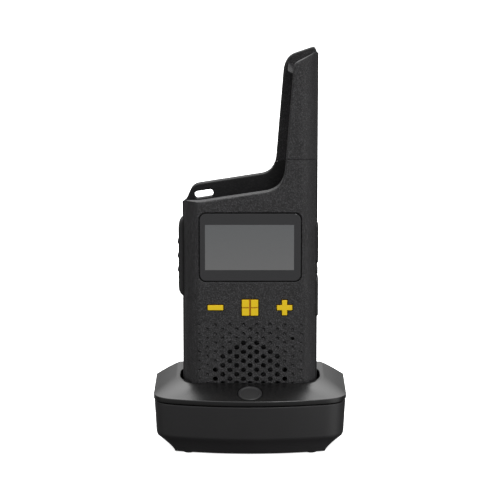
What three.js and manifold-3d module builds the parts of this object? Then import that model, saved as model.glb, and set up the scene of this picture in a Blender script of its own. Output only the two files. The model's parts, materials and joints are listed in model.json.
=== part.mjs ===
// A handheld two-way radio standing in its desktop charging dock.
// Millimetres, +Z up, front facing -Y. The origin is on the desk, under the middle of the whole object.
import * as THREE from "three";
import { mergeVertices } from "three/addons/utils/BufferGeometryUtils.js";
import Module from "manifold-3d";

const wasm = await Module();
wasm.setup();

// ---------------------------------------------------------------- driving dimensions

const GAP = 0.3; // clearance between pieces that meet face to face

// Radio
const BODY_HALF_WIDTH = 27.9;
const FRONT_Y = -11; // front face
const BACK_Y = 17; // back face of the lower body
const FIN_BACK_Y = 12; // back face of the thin upper body
const FIN_FRONT_Y = 7.5; // front face of the tall rear lip
const LEDGE_BACK_Y = -5.5; // back edge of the low front lip
const PARTING_Y = -4; // seam between the front and rear housings
const RADIO_BOTTOM_Z = 11.2;
const ANTENNA_SEAM_Z = 121; // height of the antenna's seam at the front face
const ANTENNA_SEAM_SLOPE = 0.19; // the seam falls towards the back
const AERIAL = { x: 22.6, y: -1.5 };
const WALL = 2.2;
const FRONT_WALL = 2.4;
const ANTENNA_TAPER = 0.25; // share of its depth that the antenna loses from seam to tip
const ANTENNA_TIP_Z = 164.8;

// Dock
const DOCK_HALF_WIDTH = 39.85;
const DOCK_FRONT_Y = -26;
const DOCK_BACK_Y = 26;
const DOCK_BASE_Z = 0.5;
const DOCK_CHAMFER_Z = 6.4;
const DOCK_SEAM_Z = 20.9;
const DOCK_EDGE_Z = 23.4;
const DOCK_RIM_Z = 27.9;
const DOCK_WALL = 2;
const POCKET_CLEARANCE = 1.1;
const POCKET_FLOOR_Z = 10.7;
const PIN_X = 5;
const PIN_Y = 3;
const RIM_WIDTH = 1.4;
const ROOF_TOP_Y = FRONT_Y - POCKET_CLEARANCE - RIM_WIDTH;
const DOCK_BOW = 111; // radius of the bowed front
const WELL_WALL = 1.8;
const FOOT_X = 25.2;
const FOOT_RADIUS = 2.5;
const FOOT_FRONT_Y = -17;
const FOOT_BACK_Y = 18.5;
const DOCK_SCREW_X = 20;
const DOCK_SCREW_FRONT_Y = -8;
const DOCK_SCREW_BACK_Y = 16.5;
const BADGE_RADIUS = 4.9;
const BADGE_SHARE = 0.44; // how far up the front slope the badge sits

// Display, keys and speaker grille
const WINDOW = { x: 0.1, z: 84.5, w: 42.3, h: 29 };
const KEY_Z = 59.4;
const KEY_X = 14.2;
const GRILLE_TOP_Z = 52.1;
const GRILLE_ROW = 1.905;
const GRILLE_COLUMN = 2.72;
const GRILLE_SPREAD = 0.0057;
const GRILLE_ROWS = 14;
const SPEAKER_Z = 36.5;
const MIC = { row: 3, column: 6 };

// Side controls
const PTT = { y: 3.5, z: 78.4, w: 9, h: 33 };
const FLAP = { y: 1.2, w: 8, h: 16.6, upperZ: 84.7, lowerZ: 61.9 };
const ANCHOR_Z = 73.2;
const SEAT_X = BODY_HALF_WIDTH - 1.1; // floor of the shallow seat that the socket covers lie in
const COVER_X = SEAT_X + GAP;
const STRAP = { x0: COVER_X + 0.25, x1: COVER_X + 0.75, halfWidth: 2 };

// Battery bay and belt clip
const DOOR = { halfWidth: 24.3, hingeY: 16.1, hingeZ: 31, topZ: 65.8 };
const BAY = { halfWidth: 23.4, bottomZ: 31.6, topZ: 64.6, floorY: 3.8 };
const CELL = { radius: 5.2, length: 44.5, y: 9.5, pitch: 10.8 };
const CLIP_PIN = { y: 20.6, z: 91.5 };
const CLIP_BACK_Y = 26;
const TRAY_SCREW = { x: 21.5, z: 50.5 };
const LOWER_SCREW = { x: 20, z: 19.5 };

// ---------------------------------------------------------------- colours

const COLOURS = {
  housing: { color: 0x29292b, roughness: 0.6, metalness: 0 },
  rearHousing: { color: 0x1c1c1e, roughness: 0.6, metalness: 0 },
  dock: { color: 0x2c2c2e, roughness: 0.4, metalness: 0 },
  dockBase: { color: 0x262628, roughness: 0.55, metalness: 0 },
  window: { color: 0x37373a, roughness: 0.15, metalness: 0 },
  lcd: { color: 0x5f6163, roughness: 0.3, metalness: 0 },
  key: { color: 0xc9a627, roughness: 0.5, metalness: 0 },
  rubber: { color: 0x1d1d1f, roughness: 0.8, metalness: 0 },
  steel: { color: 0xa9abad, roughness: 0.35, metalness: 1 },
  gold: { color: 0xc8a050, roughness: 0.3, metalness: 1 },
  board: { color: 0x1f5a36, roughness: 0.5, metalness: 0 },
  chip: { color: 0x161617, roughness: 0.5, metalness: 0 },
  cell: { color: 0x3f6b4a, roughness: 0.4, metalness: 0 },
  whitePlastic: { color: 0xdadad4, roughness: 0.5, metalness: 0 },
  paper: { color: 0x202022, roughness: 0.9, metalness: 0 },
};

// ---------------------------------------------------------------- solids from three.js geometry

function solidOf(geometry) {
  const bare = geometry.index ? geometry.toNonIndexed() : geometry.clone();
  bare.deleteAttribute("normal");
  bare.deleteAttribute("uv");
  const merged = mergeVertices(bare, 1e-4);
  return new wasm.Manifold(
    new wasm.Mesh({
      numProp: 3,
      vertProperties: merged.attributes.position.array,
      triVerts: new Uint32Array(merged.index.array),
    }),
  );
}

function geometryOf(solid) {
  const mesh = solid.getMesh();
  const corners = new Float32Array(mesh.numVert * 3);
  for (let i = 0; i < mesh.numVert; i++) {
    corners.set(mesh.vertProperties.subarray(i * mesh.numProp, i * mesh.numProp + 3), i * 3);
  }
  const geometry = new THREE.BufferGeometry();
  geometry.setAttribute("position", new THREE.BufferAttribute(corners, 3));
  geometry.setIndex(new THREE.BufferAttribute(mesh.triVerts, 1));
  geometry.computeVertexNormals();
  return geometry;
}

const AXES = {
  x: new THREE.Vector3(1, 0, 0),
  y: new THREE.Vector3(0, 1, 0),
  z: new THREE.Vector3(0, 0, 1),
};

function extruded(shape, depth, curveSegments) {
  return new THREE.ExtrudeGeometry(shape, { depth, bevelEnabled: false, curveSegments });
}

// A shape drawn in X and Z, extruded between two Y positions.
function alongY(shape, y0, y1) {
  const turn = new THREE.Matrix4().makeBasis(AXES.x, AXES.z, AXES.y.clone().negate());
  return solidOf(extruded(shape, y1 - y0, 5).applyMatrix4(turn).translate(0, y1, 0));
}

// A shape drawn in X and Y, extruded between two heights.
function alongZ(shape, z0, z1) {
  return solidOf(extruded(shape, z1 - z0, 6).translate(0, 0, z0));
}

// A shape drawn in Y and Z, extruded between two X positions.
function alongX(shape, x0, x1) {
  const turn = new THREE.Matrix4().makeBasis(AXES.y, AXES.z, AXES.x);
  return solidOf(extruded(shape, x1 - x0, 4).applyMatrix4(turn).translate(x0, 0, 0));
}

function block(x0, x1, y0, y1, z0, z1) {
  const geometry = new THREE.BoxGeometry(x1 - x0, y1 - y0, z1 - z0);
  return solidOf(geometry.translate((x0 + x1) / 2, (y0 + y1) / 2, (z0 + z1) / 2));
}

// A round bar along one axis, centred on a point, running from one end to the other.
function rod(axis, radius, [a, b], from, to, sides = 16) {
  const geometry = new THREE.CylinderGeometry(radius, radius, to - from, sides);
  const middle = (from + to) / 2;
  if (axis === "x") return solidOf(geometry.rotateZ(Math.PI / 2).translate(middle, a, b));
  if (axis === "y") return solidOf(geometry.translate(a, middle, b));
  return solidOf(geometry.rotateX(Math.PI / 2).translate(a, b, middle));
}

function ring(axis, outer, inner, centre, from, to, sides = 16) {
  const hole = rod(axis, inner, centre, from - 1, to + 1, sides);
  return rod(axis, outer, centre, from, to, sides).subtract(hole);
}

function polygon(points) {
  return new THREE.Shape(points.map(([a, b]) => new THREE.Vector2(a, b)));
}

function roundedRectangle(cx, cy, w, h, radius) {
  const [l, r, b, t] = [cx - w / 2, cx + w / 2, cy - h / 2, cy + h / 2];
  const shape = new THREE.Shape();
  shape.moveTo(l + radius, b);
  shape.lineTo(r - radius, b);
  shape.absarc(r - radius, b + radius, radius, -Math.PI / 2, 0);
  shape.lineTo(r, t - radius);
  shape.absarc(r - radius, t - radius, radius, 0, Math.PI / 2);
  shape.lineTo(l + radius, t);
  shape.absarc(l + radius, t - radius, radius, Math.PI / 2, Math.PI);
  shape.lineTo(l, b + radius);
  shape.absarc(l + radius, b + radius, radius, Math.PI, Math.PI * 1.5);
  return shape;
}

// A skin through outlines of equal point counts at rising heights, capped flat at both ends.
function loft(sections) {
  const count = sections[0].points.length;
  const positions = [];
  const indices = [];
  for (const { points, z } of sections) {
    for (const p of points) positions.push(p.x, p.y, z);
  }
  for (let s = 0; s + 1 < sections.length; s++) {
    for (let i = 0; i < count; i++) {
      const j = (i + 1) % count;
      const [a, b, c, d] = [s * count + i, s * count + j, (s + 1) * count + j, (s + 1) * count + i];
      indices.push(a, b, c, a, c, d);
    }
  }
  const top = (sections.length - 1) * count;
  for (const [a, b, c] of THREE.ShapeUtils.triangulateShape(sections[0].points, [])) {
    indices.push(a, c, b);
  }
  for (const [a, b, c] of THREE.ShapeUtils.triangulateShape(sections.at(-1).points, [])) {
    indices.push(top + a, top + b, top + c);
  }
  const geometry = new THREE.BufferGeometry();
  geometry.setAttribute("position", new THREE.Float32BufferAttribute(positions, 3));
  geometry.setIndex(indices);
  return solidOf(geometry);
}

const joined = (...solids) => solids.reduce((all, next) => all.add(next));
const cut = (solid, ...tools) => tools.reduce((left, tool) => left.subtract(tool), solid);

// ---------------------------------------------------------------- the radio's outlines

// Horizontal section: flat front, long elliptical front corners, shorter rear ones.
const SECTION = { frontFlat: 20.5, sideFrontY: 2, sideBackY: 8, backFlat: 21.5 };

function bodySection(outset = 0) {
  const { frontFlat, sideFrontY, sideBackY, backFlat } = SECTION;
  const side = BODY_HALF_WIDTH + outset;
  const frontDepth = sideFrontY - FRONT_Y + outset;
  const backDepth = BACK_Y - sideBackY + outset;
  const shape = new THREE.Shape();
  shape.moveTo(-frontFlat, FRONT_Y - outset);
  shape.lineTo(frontFlat, FRONT_Y - outset);
  shape.absellipse(frontFlat, sideFrontY, side - frontFlat, frontDepth, -Math.PI / 2, 0, false);
  shape.lineTo(side, sideBackY);
  shape.absellipse(backFlat, sideBackY, side - backFlat, backDepth, 0, Math.PI / 2, false);
  shape.lineTo(-backFlat, BACK_Y + outset);
  shape.absellipse(-backFlat, sideBackY, side - backFlat, backDepth, Math.PI / 2, Math.PI, false);
  shape.lineTo(-side, sideFrontY);
  shape.absellipse(-frontFlat, sideFrontY, side - frontFlat, frontDepth, Math.PI, Math.PI * 1.5, false);
  return shape;
}

// The lower edge that every front-view outline of the radio shares.
function startAtBottom(topLeftZ) {
  const shape = new THREE.Shape();
  shape.moveTo(-BODY_HALF_WIDTH, topLeftZ);
  shape.lineTo(-BODY_HALF_WIDTH, RADIO_BOTTOM_Z + 4);
  shape.quadraticCurveTo(-BODY_HALF_WIDTH, RADIO_BOTTOM_Z, -BODY_HALF_WIDTH + 4, RADIO_BOTTOM_Z);
  shape.lineTo(BODY_HALF_WIDTH - 4, RADIO_BOTTOM_Z);
  shape.quadraticCurveTo(BODY_HALF_WIDTH, RADIO_BOTTOM_Z, BODY_HALF_WIDTH, RADIO_BOTTOM_Z + 4);
  return shape;
}

// Front lip: sloping shoulder, fillet into the antenna, leaning antenna edge and slanted tip.
function frontOutline() {
  const shape = startAtBottom(102.8);
  shape.lineTo(BODY_HALF_WIDTH, 164.3);
  shape.quadraticCurveTo(BODY_HALF_WIDTH, ANTENNA_TIP_Z, BODY_HALF_WIDTH - 0.9, 164.6);
  shape.lineTo(19.4, 160.7);
  shape.quadraticCurveTo(17.8, 159.9, 17.6, 157.8);
  shape.lineTo(14.4, 117);
  shape.quadraticCurveTo(13.7, 108.6, 6.4, 107.5);
  shape.lineTo(-14.9, 104.3);
  shape.quadraticCurveTo(-18.5, 103.6, -21.5, 103.45);
  shape.lineTo(-BODY_HALF_WIDTH + 0.7, 103.35);
  shape.quadraticCurveTo(-BODY_HALF_WIDTH, 103.35, -BODY_HALF_WIDTH, 102.8);
  return shape;
}

// Rear lip: the same line, standing about 4 mm outside the front one.
function finOutline() {
  const shape = startAtBottom(100.9);
  shape.lineTo(BODY_HALF_WIDTH, 161.6);
  shape.quadraticCurveTo(26.9, 165.5, 25.7, 165.2);
  shape.lineTo(18.4, 162.7);
  shape.quadraticCurveTo(14.1, 161, 13.65, 154.8);
  shape.lineTo(10.9, 119.8);
  shape.quadraticCurveTo(10.3, 112.9, 5, 112);
  shape.lineTo(-20.6, 108);
  shape.quadraticCurveTo(-23.7, 107.5, -24.6, 105.2);
  shape.lineTo(-26.2, 101.6);
  return shape;
}

// Floor of the valley between the two lips.
function valleyOutline() {
  const shape = startAtBottom(100.2);
  shape.lineTo(BODY_HALF_WIDTH, 162.6);
  shape.lineTo(21, 159.2);
  shape.quadraticCurveTo(19.5, 158.4, 19.2, 155.5);
  shape.lineTo(16.1, 114.5);
  shape.quadraticCurveTo(15.6, 106.1, 7.9, 104.9);
  shape.lineTo(-14.9, 101.5);
  shape.quadraticCurveTo(-20, 100.8, -26, 100.7);
  return shape;
}

// Side view of the radio: upright front, full-depth lower back, thinner upper body.
function sideOutline() {
  return polygon([
    [FRONT_Y, 15],
    [FRONT_Y + 0.9, 12.3],
    [FRONT_Y + 2.6, RADIO_BOTTOM_Z],
    [BACK_Y - 2.6, RADIO_BOTTOM_Z],
    [BACK_Y - 0.8, 12.4],
    [BACK_Y, 15],
    [BACK_Y, 94.8],
    [BACK_Y - 0.7, 96.4],
    [FIN_BACK_Y + 0.5, 99.8],
    [FIN_BACK_Y, 101],
    [FIN_BACK_Y, 166],
    [FRONT_Y, 166],
  ]);
}

const bodyEnvelope = () => alongZ(bodySection(), 0, 170).intersect(alongX(sideOutline(), -30, 30));
const below = (z) => block(-60, 60, -60, 60, -10, z);
const above = (z) => block(-60, 60, -60, 60, z, 200);

// Everything on one side (1 above, -1 below) of the antenna's sloping seam, half a gap away from it.
function beyondSeam(side) {
  const reach = 160;
  const half = new THREE.BoxGeometry(reach, reach, reach).translate(0, 0, (side * (reach + GAP)) / 2);
  return solidOf(half.rotateX(-Math.atan(ANTENNA_SEAM_SLOPE)).translate(0, FRONT_Y, ANTENNA_SEAM_Z));
}

// Room inside both housings, up to the antenna's root.
const cavityOutline = () =>
  polygon([
    [-25.6, 13.6],
    [25.6, 13.6],
    [25.6, 115],
    [18.6, 115],
    [18.2, 104.2],
    [8.4, 102.6],
    [-14.8, 99.2],
    [-25.6, 98.4],
  ]);

const cavity = (y0, y1) => alongY(cavityOutline(), y0, y1).intersect(alongZ(bodySection(-WALL), 0, 170));

// ---------------------------------------------------------------- grille

const grilleX = (column) => GRILLE_COLUMN * column + GRILLE_SPREAD * column ** 3;
const grilleZ = (row) => GRILLE_TOP_Z - GRILLE_ROW * row;
const isOpen = (row, column) => row > 3 && Math.abs(column) <= Math.min(row - 3, row < 10 ? 4 : 5);

function grilleHoles() {
  const tools = [rod("y", 0.75, [grilleX(MIC.column), grilleZ(MIC.row)], -20, -7, 6)];
  for (let row = 0; row < GRILLE_ROWS; row++) {
    for (let column = -7; column <= 7; column++) {
      const staggered = (row + column) % 2 !== 0;
      if (staggered && isOpen(row, column)) {
        tools.push(rod("y", 0.95, [grilleX(column), grilleZ(row)], -20, -7, 6));
      }
    }
  }
  return tools;
}

// ---------------------------------------------------------------- keys

function minusShape(grow = 0) {
  return roundedRectangle(-KEY_X, KEY_Z, 6.4 + 2 * grow, 2.3 + 2 * grow, 0.4);
}

function menuShape(grow = 0) {
  return roundedRectangle(0, KEY_Z, 6.8 + 2 * grow, 6.8 + 2 * grow, 0.5);
}

function plusShape(grow = 0) {
  const [arm, half] = [3.2 + grow, 1.15 + grow];
  const corners = [
    [-half, -arm],
    [half, -arm],
    [half, -half],
    [arm, -half],
    [arm, half],
    [half, half],
    [half, arm],
    [-half, arm],
    [-half, half],
    [-arm, half],
    [-arm, -half],
    [-half, -half],
  ];
  return polygon(corners.map(([x, z]) => [KEY_X + x, KEY_Z + z]));
}

function key(shape, flangeX) {
  const cap = alongY(shape(), FRONT_Y - 0.25, -8);
  const flange = block(flangeX - 4.2, flangeX + 4.2, -8.2, -7.6, KEY_Z - 4.2, KEY_Z + 4.2);
  return cap.add(flange);
}

function menuKey() {
  const upright = block(-0.25, 0.25, -13, FRONT_Y + 0.35, KEY_Z - 5, KEY_Z + 5);
  const level = block(-5, 5, -13, FRONT_Y + 0.1, KEY_Z - 0.12, KEY_Z + 0.12);
  return cut(key(menuShape, 0), upright, level);
}

// ---------------------------------------------------------------- radio housings

// A wall closing one end of the valley between the lips; its top falls from the front lip to the rear one.
function valleyEnd(x0, x1, frontZ, rearZ) {
  const shape = new THREE.Shape();
  shape.moveTo(LEDGE_BACK_Y - 0.5, rearZ - 1.5);
  shape.lineTo(FIN_FRONT_Y + 0.5, rearZ - 1.5);
  shape.lineTo(FIN_FRONT_Y + 0.5, rearZ);
  shape.lineTo(LEDGE_BACK_Y, frontZ);
  shape.lineTo(LEDGE_BACK_Y - 0.5, frontZ);
  return alongX(shape, x0, x1);
}

const shoulderEnd = () => valleyEnd(-30, -26.2, 103.1, 100.8);
const tipEnd = () => valleyEnd(25.9, 30, 164.3, 162.7);

function frontHousing() {
  const lip = alongY(frontOutline(), FRONT_Y, LEDGE_BACK_Y);
  const wall = alongY(valleyOutline(), LEDGE_BACK_Y - 0.5, PARTING_Y);
  const end = shoulderEnd().intersect(block(-60, 60, -60, PARTING_Y, 0, 200));
  const shell = joined(lip, wall, end).intersect(bodyEnvelope()).intersect(beyondSeam(-1));
  const recess = roundedRectangle(WINDOW.x, WINDOW.z, WINDOW.w, WINDOW.h, 3);
  const sight = roundedRectangle(0, WINDOW.z, 37.4, 20.4, 1);
  const hollow = cut(
    shell,
    cavity(FRONT_Y + FRONT_WALL, PARTING_Y + 1),
    alongY(recess, -20, FRONT_Y + 1.5),
    alongY(sight, -20, 0),
    alongY(minusShape(GAP), -20, 0),
    alongY(menuShape(GAP), -20, 0),
    alongY(plusShape(GAP), -20, 0),
    aerialBore(),
  );
  const bosses = [TRAY_SCREW, LOWER_SCREW].flatMap(({ x, z }) =>
    [-x, x].map((at) => ring("y", 2.4, 1.4, [at, z], FRONT_Y + 1.8, -1.6, 14)),
  );
  return cut(joined(hollow, ...bosses), ...grilleHoles());
}

// Everything that opens the rear housing to the outside: doorway, bay, buttons, sockets and contacts.
function rearOpenings() {
  const { y, w, h, upperZ, lowerZ } = FLAP;
  const slot = alongY(roundedRectangle(0, 0, 7.8, 3.1, 1.3), 0, 20).rotate([0, -9, 0]);
  const seatHalf = w / 2 + GAP;
  return [
    slot.translate([-19.05, 0, 103.6]),
    block(-24.6, 24.6, 14.9, 20, DOOR.hingeZ - 1.2, DOOR.topZ + GAP),
    block(-BAY.halfWidth, BAY.halfWidth, BAY.floorY, 15.2, BAY.bottomZ, BAY.topZ),
    block(-40, -24.2, PTT.y - 4.8, PTT.y + 4.8, PTT.z - 16.8, PTT.z + 16.8),
    block(SEAT_X, 40, y - seatHalf, y + seatHalf, lowerZ - h / 2 - GAP, upperZ + h / 2 + GAP),
    rod("x", 2.2, [y, upperZ], 20, 30, 16),
    block(20, 30, -2.3, 0.6, lowerZ - 4.2, lowerZ + 4.2),
    rod("x", 1.3, [y, ANCHOR_Z], 20, 30, 12),
    ...[-PIN_X, PIN_X].map((x) => block(x - 2.5, x + 2.5, PIN_Y - 2.5, PIN_Y + 2.5, 5, 20)),
    ...[-7, 7].map((x) => rod("y", 1.1, [x, 87.5], 10, 20, 12)),
    aerialBore(),
  ];
}

function rearHousing() {
  const core = alongY(valleyOutline(), PARTING_Y + GAP, FIN_FRONT_Y + 0.5);
  const fin = alongY(finOutline(), FIN_FRONT_Y, BACK_Y);
  const end = shoulderEnd().intersect(block(-60, 60, PARTING_Y + GAP, 60, 0, 200));
  const shell = joined(core, fin, end).intersect(bodyEnvelope()).intersect(beyondSeam(-1));
  const bayWall = WALL - 0.4;
  const room = joined(
    cavity(-20, BAY.floorY - bayWall),
    cut(cavity(0, 14.6), above(BAY.bottomZ - bayWall)),
    cut(cavity(0, 14.6), below(BAY.topZ + bayWall), above(93)),
    cut(cavity(0, 5.2), below(92)),
  );
  const screwXs = [-1, 1];
  const columns = screwXs.map((s) => rod("y", 3.6, [s * LOWER_SCREW.x, LOWER_SCREW.z], -1, 15.5, 16));
  const bores = screwXs.flatMap((s) => [
    rod("y", 1.5, [s * LOWER_SCREW.x, LOWER_SCREW.z], -5, 20, 14),
    rod("y", 2.7, [s * LOWER_SCREW.x, LOWER_SCREW.z], 3.4, 20, 16),
    rod("y", 1.5, [s * TRAY_SCREW.x, TRAY_SCREW.z], 0, 5, 14),
    rod("y", 2.7, [s * TRAY_SCREW.x, TRAY_SCREW.z], 2.7, 5, 16),
  ]);
  return cut(joined(cut(shell, room, ...rearOpenings()), ...columns), ...bores);
}

const aerialBore = () => rod("z", 2.6, [AERIAL.x, AERIAL.y], 104, 152, 18);

// The antenna's sleeve repeats the housings' section, hollow for the aerial, and thins towards its tip.
function antennaSleeve() {
  const solid = joined(
    alongY(frontOutline(), FRONT_Y, LEDGE_BACK_Y),
    alongY(valleyOutline(), LEDGE_BACK_Y - 0.5, FIN_FRONT_Y + 0.5),
    alongY(finOutline(), FIN_FRONT_Y, FIN_BACK_Y),
    tipEnd(),
  )
    .intersect(alongZ(bodySection(), 0, 170))
    .intersect(beyondSeam(1));
  const geometry = geometryOf(solid);
  const position = geometry.attributes.position;
  for (let i = 0; i < position.count; i++) {
    const rise = (position.getZ(i) - ANTENNA_SEAM_Z) / (ANTENNA_TIP_Z - ANTENNA_SEAM_Z);
    position.setY(i, FRONT_Y + (position.getY(i) - FRONT_Y) * (1 - ANTENNA_TAPER * Math.max(rise, 0)));
  }
  return solidOf(geometry).subtract(aerialBore());
}

class Helix extends THREE.Curve {
  constructor(radius, pitch, turns) {
    super();
    Object.assign(this, { radius, pitch, turns });
  }
  getPoint(t, target = new THREE.Vector3()) {
    const angle = t * this.turns * Math.PI * 2;
    const [x, y] = [this.radius * Math.cos(angle), this.radius * Math.sin(angle)];
    return target.set(x, y, t * this.turns * this.pitch);
  }
}

function coil(radius, wire, pitch, turns, stepsPerTurn = 8) {
  const section = new THREE.Shape().absarc(0, 0, wire / 2, 0, Math.PI * 2);
  return new THREE.ExtrudeGeometry(section, {
    steps: Math.round(turns * stepsPerTurn),
    extrudePath: new Helix(radius, pitch, turns),
    curveSegments: 2,
  });
}

const aerialCoil = () => solidOf(coil(1.85, 0.5, 4.2, 8).translate(AERIAL.x, AERIAL.y, 112));

// ---------------------------------------------------------------- radio details

function displayWindow() {
  const { x, z, w, h } = WINDOW;
  return alongY(roundedRectangle(x, z, w - 2 * GAP, h - 2 * GAP, 2.7), FRONT_Y + 0.3, FRONT_Y + 1.2);
}

function pttButton() {
  const { y, z, w, h } = PTT;
  const side = -BODY_HALF_WIDTH;
  const crown = polygon([
    [side - 1.7, z - 13],
    [side - 1, z - 15.4],
    [side + 0.4, z - 16.5],
    [side + 2, z - 16.5],
    [side + 2, z + 16.5],
    [side + 0.4, z + 16.5],
    [side - 1, z + 15.4],
    [side - 1.7, z + 13],
  ]);
  const pad = alongX(roundedRectangle(y, z, w, h, 3), side - 4, side + 2);
  const cap = pad.intersect(alongY(crown, y - 5, y + 5));
  const ribs = [-5.6, 0.3, 6.2].map((dz) => rod("y", 0.8, [side - 1.35, z + dz], y - 2.8, y + 2.8, 10));
  const neck = block(side + 1, side + 3.4, y - 4, y + 4, z - 10.4, z + 10.4);
  const flange = block(side + 2.55, side + 3.15, y - 5.2, y + 5.2, z - 11, z + 11);
  return joined(cap, ...ribs, neck, flange);
}

// The switch that the talk bar's neck pushes on.
function pttSwitch() {
  const body = block(-21.6, -17.6, -2.1, PTT.y + 0.9, PTT.z - 3, PTT.z + 3);
  return body.add(rod("x", 1, [PTT.y - 0.5, PTT.z], -23.2, -21, 12));
}

function accessoryJack() {
  const body = block(17.2, 24.6, -2.1, 4.3, FLAP.upperZ - 3.1, FLAP.upperZ + 3.1);
  return body.subtract(rod("x", 1.35, [FLAP.y, FLAP.upperZ], 18, 30, 14));
}

function usbSocket() {
  const shell = block(18.6, 25, -2.1, 0.4, FLAP.lowerZ - 3.7, FLAP.lowerZ + 3.9);
  return shell.subtract(block(19.4, 30, -1.8, 0.1, FLAP.lowerZ - 3.3, FLAP.lowerZ + 3.5));
}

// The lugs on the inside of the covers that plug the two openings.
const jackPlug = () => rod("x", 1.7, [FLAP.y, FLAP.upperZ], 25.6, COVER_X + 0.3, 14);
const usbPlug = () => block(25.8, COVER_X + 0.3, -1.6, 0.1, FLAP.lowerZ - 2.9, FLAP.lowerZ + 3.1);

// Rubber covers over the two side sockets; each strap runs to the anchor between them.
function portFlap(z, side, plug) {
  const { y, w, h } = FLAP;
  const cover = alongX(roundedRectangle(y, z, w, h, 1.6), COVER_X, BODY_HALF_WIDTH + 0.35);
  const strapEnd = z - side * (h / 2 + 1.1);
  const [bottom, top] = [Math.min(z, strapEnd), Math.max(z, strapEnd)];
  const strap = block(STRAP.x0, STRAP.x1, y - STRAP.halfWidth, y + STRAP.halfWidth, bottom, top);
  return joined(cover, strap, plug);
}

function portCoverAnchor() {
  const { y } = FLAP;
  const face = alongX(roundedRectangle(y, ANCHOR_Z, 7.4, 2.7, 1), COVER_X, BODY_HALF_WIDTH + 0.1);
  const stem = rod("x", 1, [y, ANCHOR_Z], 24.4, COVER_X + 0.3, 12);
  return joined(face, stem, rod("x", 1.8, [y, ANCHOR_Z], 24.2, 25, 12));
}

function beltClip() {
  const { y, z } = CLIP_PIN;
  const arm = polygon([
    [y - 0.9, z + 2.1],
    [y - 1.8, z + 0.9],
    [y - 1.8, z - 2.2],
    [23.2, z - 6.6],
    [23.2, 76],
    [21.6, 72.6],
    [18.6, 70.2],
    [18.2, 69],
    [19.2, 67.8],
    [22.6, 68.8],
    [25.6, 73],
    [CLIP_BACK_Y, 76],
    [CLIP_BACK_Y, z - 5],
    [24.6, z + 1.8],
    [24, z + 7.4],
    [22.6, z + 8],
    [22.2, z + 3.4],
  ]);
  const springRoom = block(-4.4, 4.4, 17, 23, z - 4, z + 3.4);
  return cut(alongX(arm, -8.3, 8.3), rod("x", 1.2, [y, z], -20, 20, 16), springRoom);
}

function clipBracket() {
  const { y, z } = CLIP_PIN;
  const plate = alongY(roundedRectangle(0, 87.6, 22.6, 12.6, 1.5), BACK_Y + GAP, BACK_Y + 1.5);
  const ear = (x0, x1) =>
    joined(rod("x", 2.3, [y, z], x0, x1, 20), block(x0, x1, BACK_Y + 1, y + 0.4, z - 2.3, z + 2.3));
  const pegs = [-7, 7].map((x) => rod("y", 0.8, [x, 87.5], 15.2, BACK_Y + 1, 12));
  return cut(joined(plate, ear(-11.2, -8.6), ear(8.6, 11.2), ...pegs), rod("x", 1.2, [y, z], -20, 20, 16));
}

function clipSpring() {
  const { y, z } = CLIP_PIN;
  return solidOf(coil(1.5, 0.5, 1.25, 6).rotateY(Math.PI / 2).translate(-3.8, y, z));
}

function batteryDoor() {
  const { halfWidth, hingeY, hingeZ, topZ } = DOOR;
  const skin = alongZ(bodySection(), 0, 90).intersect(block(-halfWidth, halfWidth, 15.2, 20, hingeZ, topZ));
  const barrel = rod("x", 0.9, [hingeY, hingeZ], -21.5, 21.5, 14);
  const latchSeat = block(-6.3, 6.3, 16, 20, 57.6, 63.4);
  const grips = [0, 1, 2, 3].map((i) => rod("x", 0.35, [BACK_Y, 36 + i * 1.8], -9, 9, 6));
  return cut(joined(skin, barrel), latchSeat, ...grips);
}

function doorLatch() {
  const slider = block(-6, 6, 16.3, BACK_Y + 0.2, 59.4, 63.1);
  const ridges = [60.2, 61.25, 62.3].map((z) => rod("x", 0.3, [BACK_Y + 0.2, z], -5, 5, 6));
  return joined(slider, ...ridges);
}

// Turned pieces are drawn as radius against depth and spun about a line along Y.
function turnedAlongY(profile, x, z, sides) {
  const points = profile.map(([radius, y]) => new THREE.Vector2(radius, y));
  return solidOf(new THREE.LatheGeometry(points, sides).translate(x, 0, z));
}

function turnedAlongZ(profile, x, y, sides) {
  const points = profile.map(([radius, z]) => new THREE.Vector2(radius, z));
  return solidOf(new THREE.LatheGeometry(points, sides).rotateX(Math.PI / 2).translate(x, y, 0));
}

function speakerBasket() {
  const rim = ring("y", 14.6, 12.6, [0, SPEAKER_Z], -8.2, -6.2, 24);
  return rim.add(ring("y", 12.9, 9.4, [0, SPEAKER_Z], -6.4, -4.6, 24));
}

function speakerCone() {
  const profile = [
    [0, -6.4],
    [3.6, -6.1],
    [12.1, -8.1],
    [12.1, -7.7],
    [3.8, -5.6],
    [0, -5.9],
  ];
  return turnedAlongY(profile, 0, SPEAKER_Z, 24);
}

function batteryCell(row) {
  const { radius, length, y, pitch } = CELL;
  const z = (BAY.bottomZ + BAY.topZ) / 2 + row * pitch;
  const flip = row === 0 ? -1 : 1;
  const nub = length / 2 - 1;
  const can = rod("x", radius, [y, z], -nub, nub, 20);
  const [from, to] = flip > 0 ? [nub - 0.5, nub + 1] : [-nub - 1, -nub + 0.5];
  return can.add(rod("x", 1.9, [y, z], from, to, 14));
}

function batteryContact(side) {
  const [near, far] = [22.75, 23.15];
  const [x0, x1] = side > 0 ? [near, far] : [-far, -near];
  const plate = block(x0, x1, CELL.y - 4, CELL.y + 4, BAY.bottomZ + 1, BAY.topZ - 1);
  const middle = (BAY.bottomZ + BAY.topZ) / 2;
  const slitZs = [middle - CELL.pitch / 2, middle + CELL.pitch / 2];
  return cut(plate, ...slitZs.map((z) => block(-30, 30, 7, 30, z - 0.7, z + 0.7)));
}

// Screws stand head-first at the origin of their profile and point away from the head.
const SCREW = [
  [0, -1],
  [0.45, -1],
  [1.05, -0.9],
  [1.05, 0],
  [2.2, 0],
  [2.2, 0.9],
  [1.5, 1.3],
  [0, 1.3],
];

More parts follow.
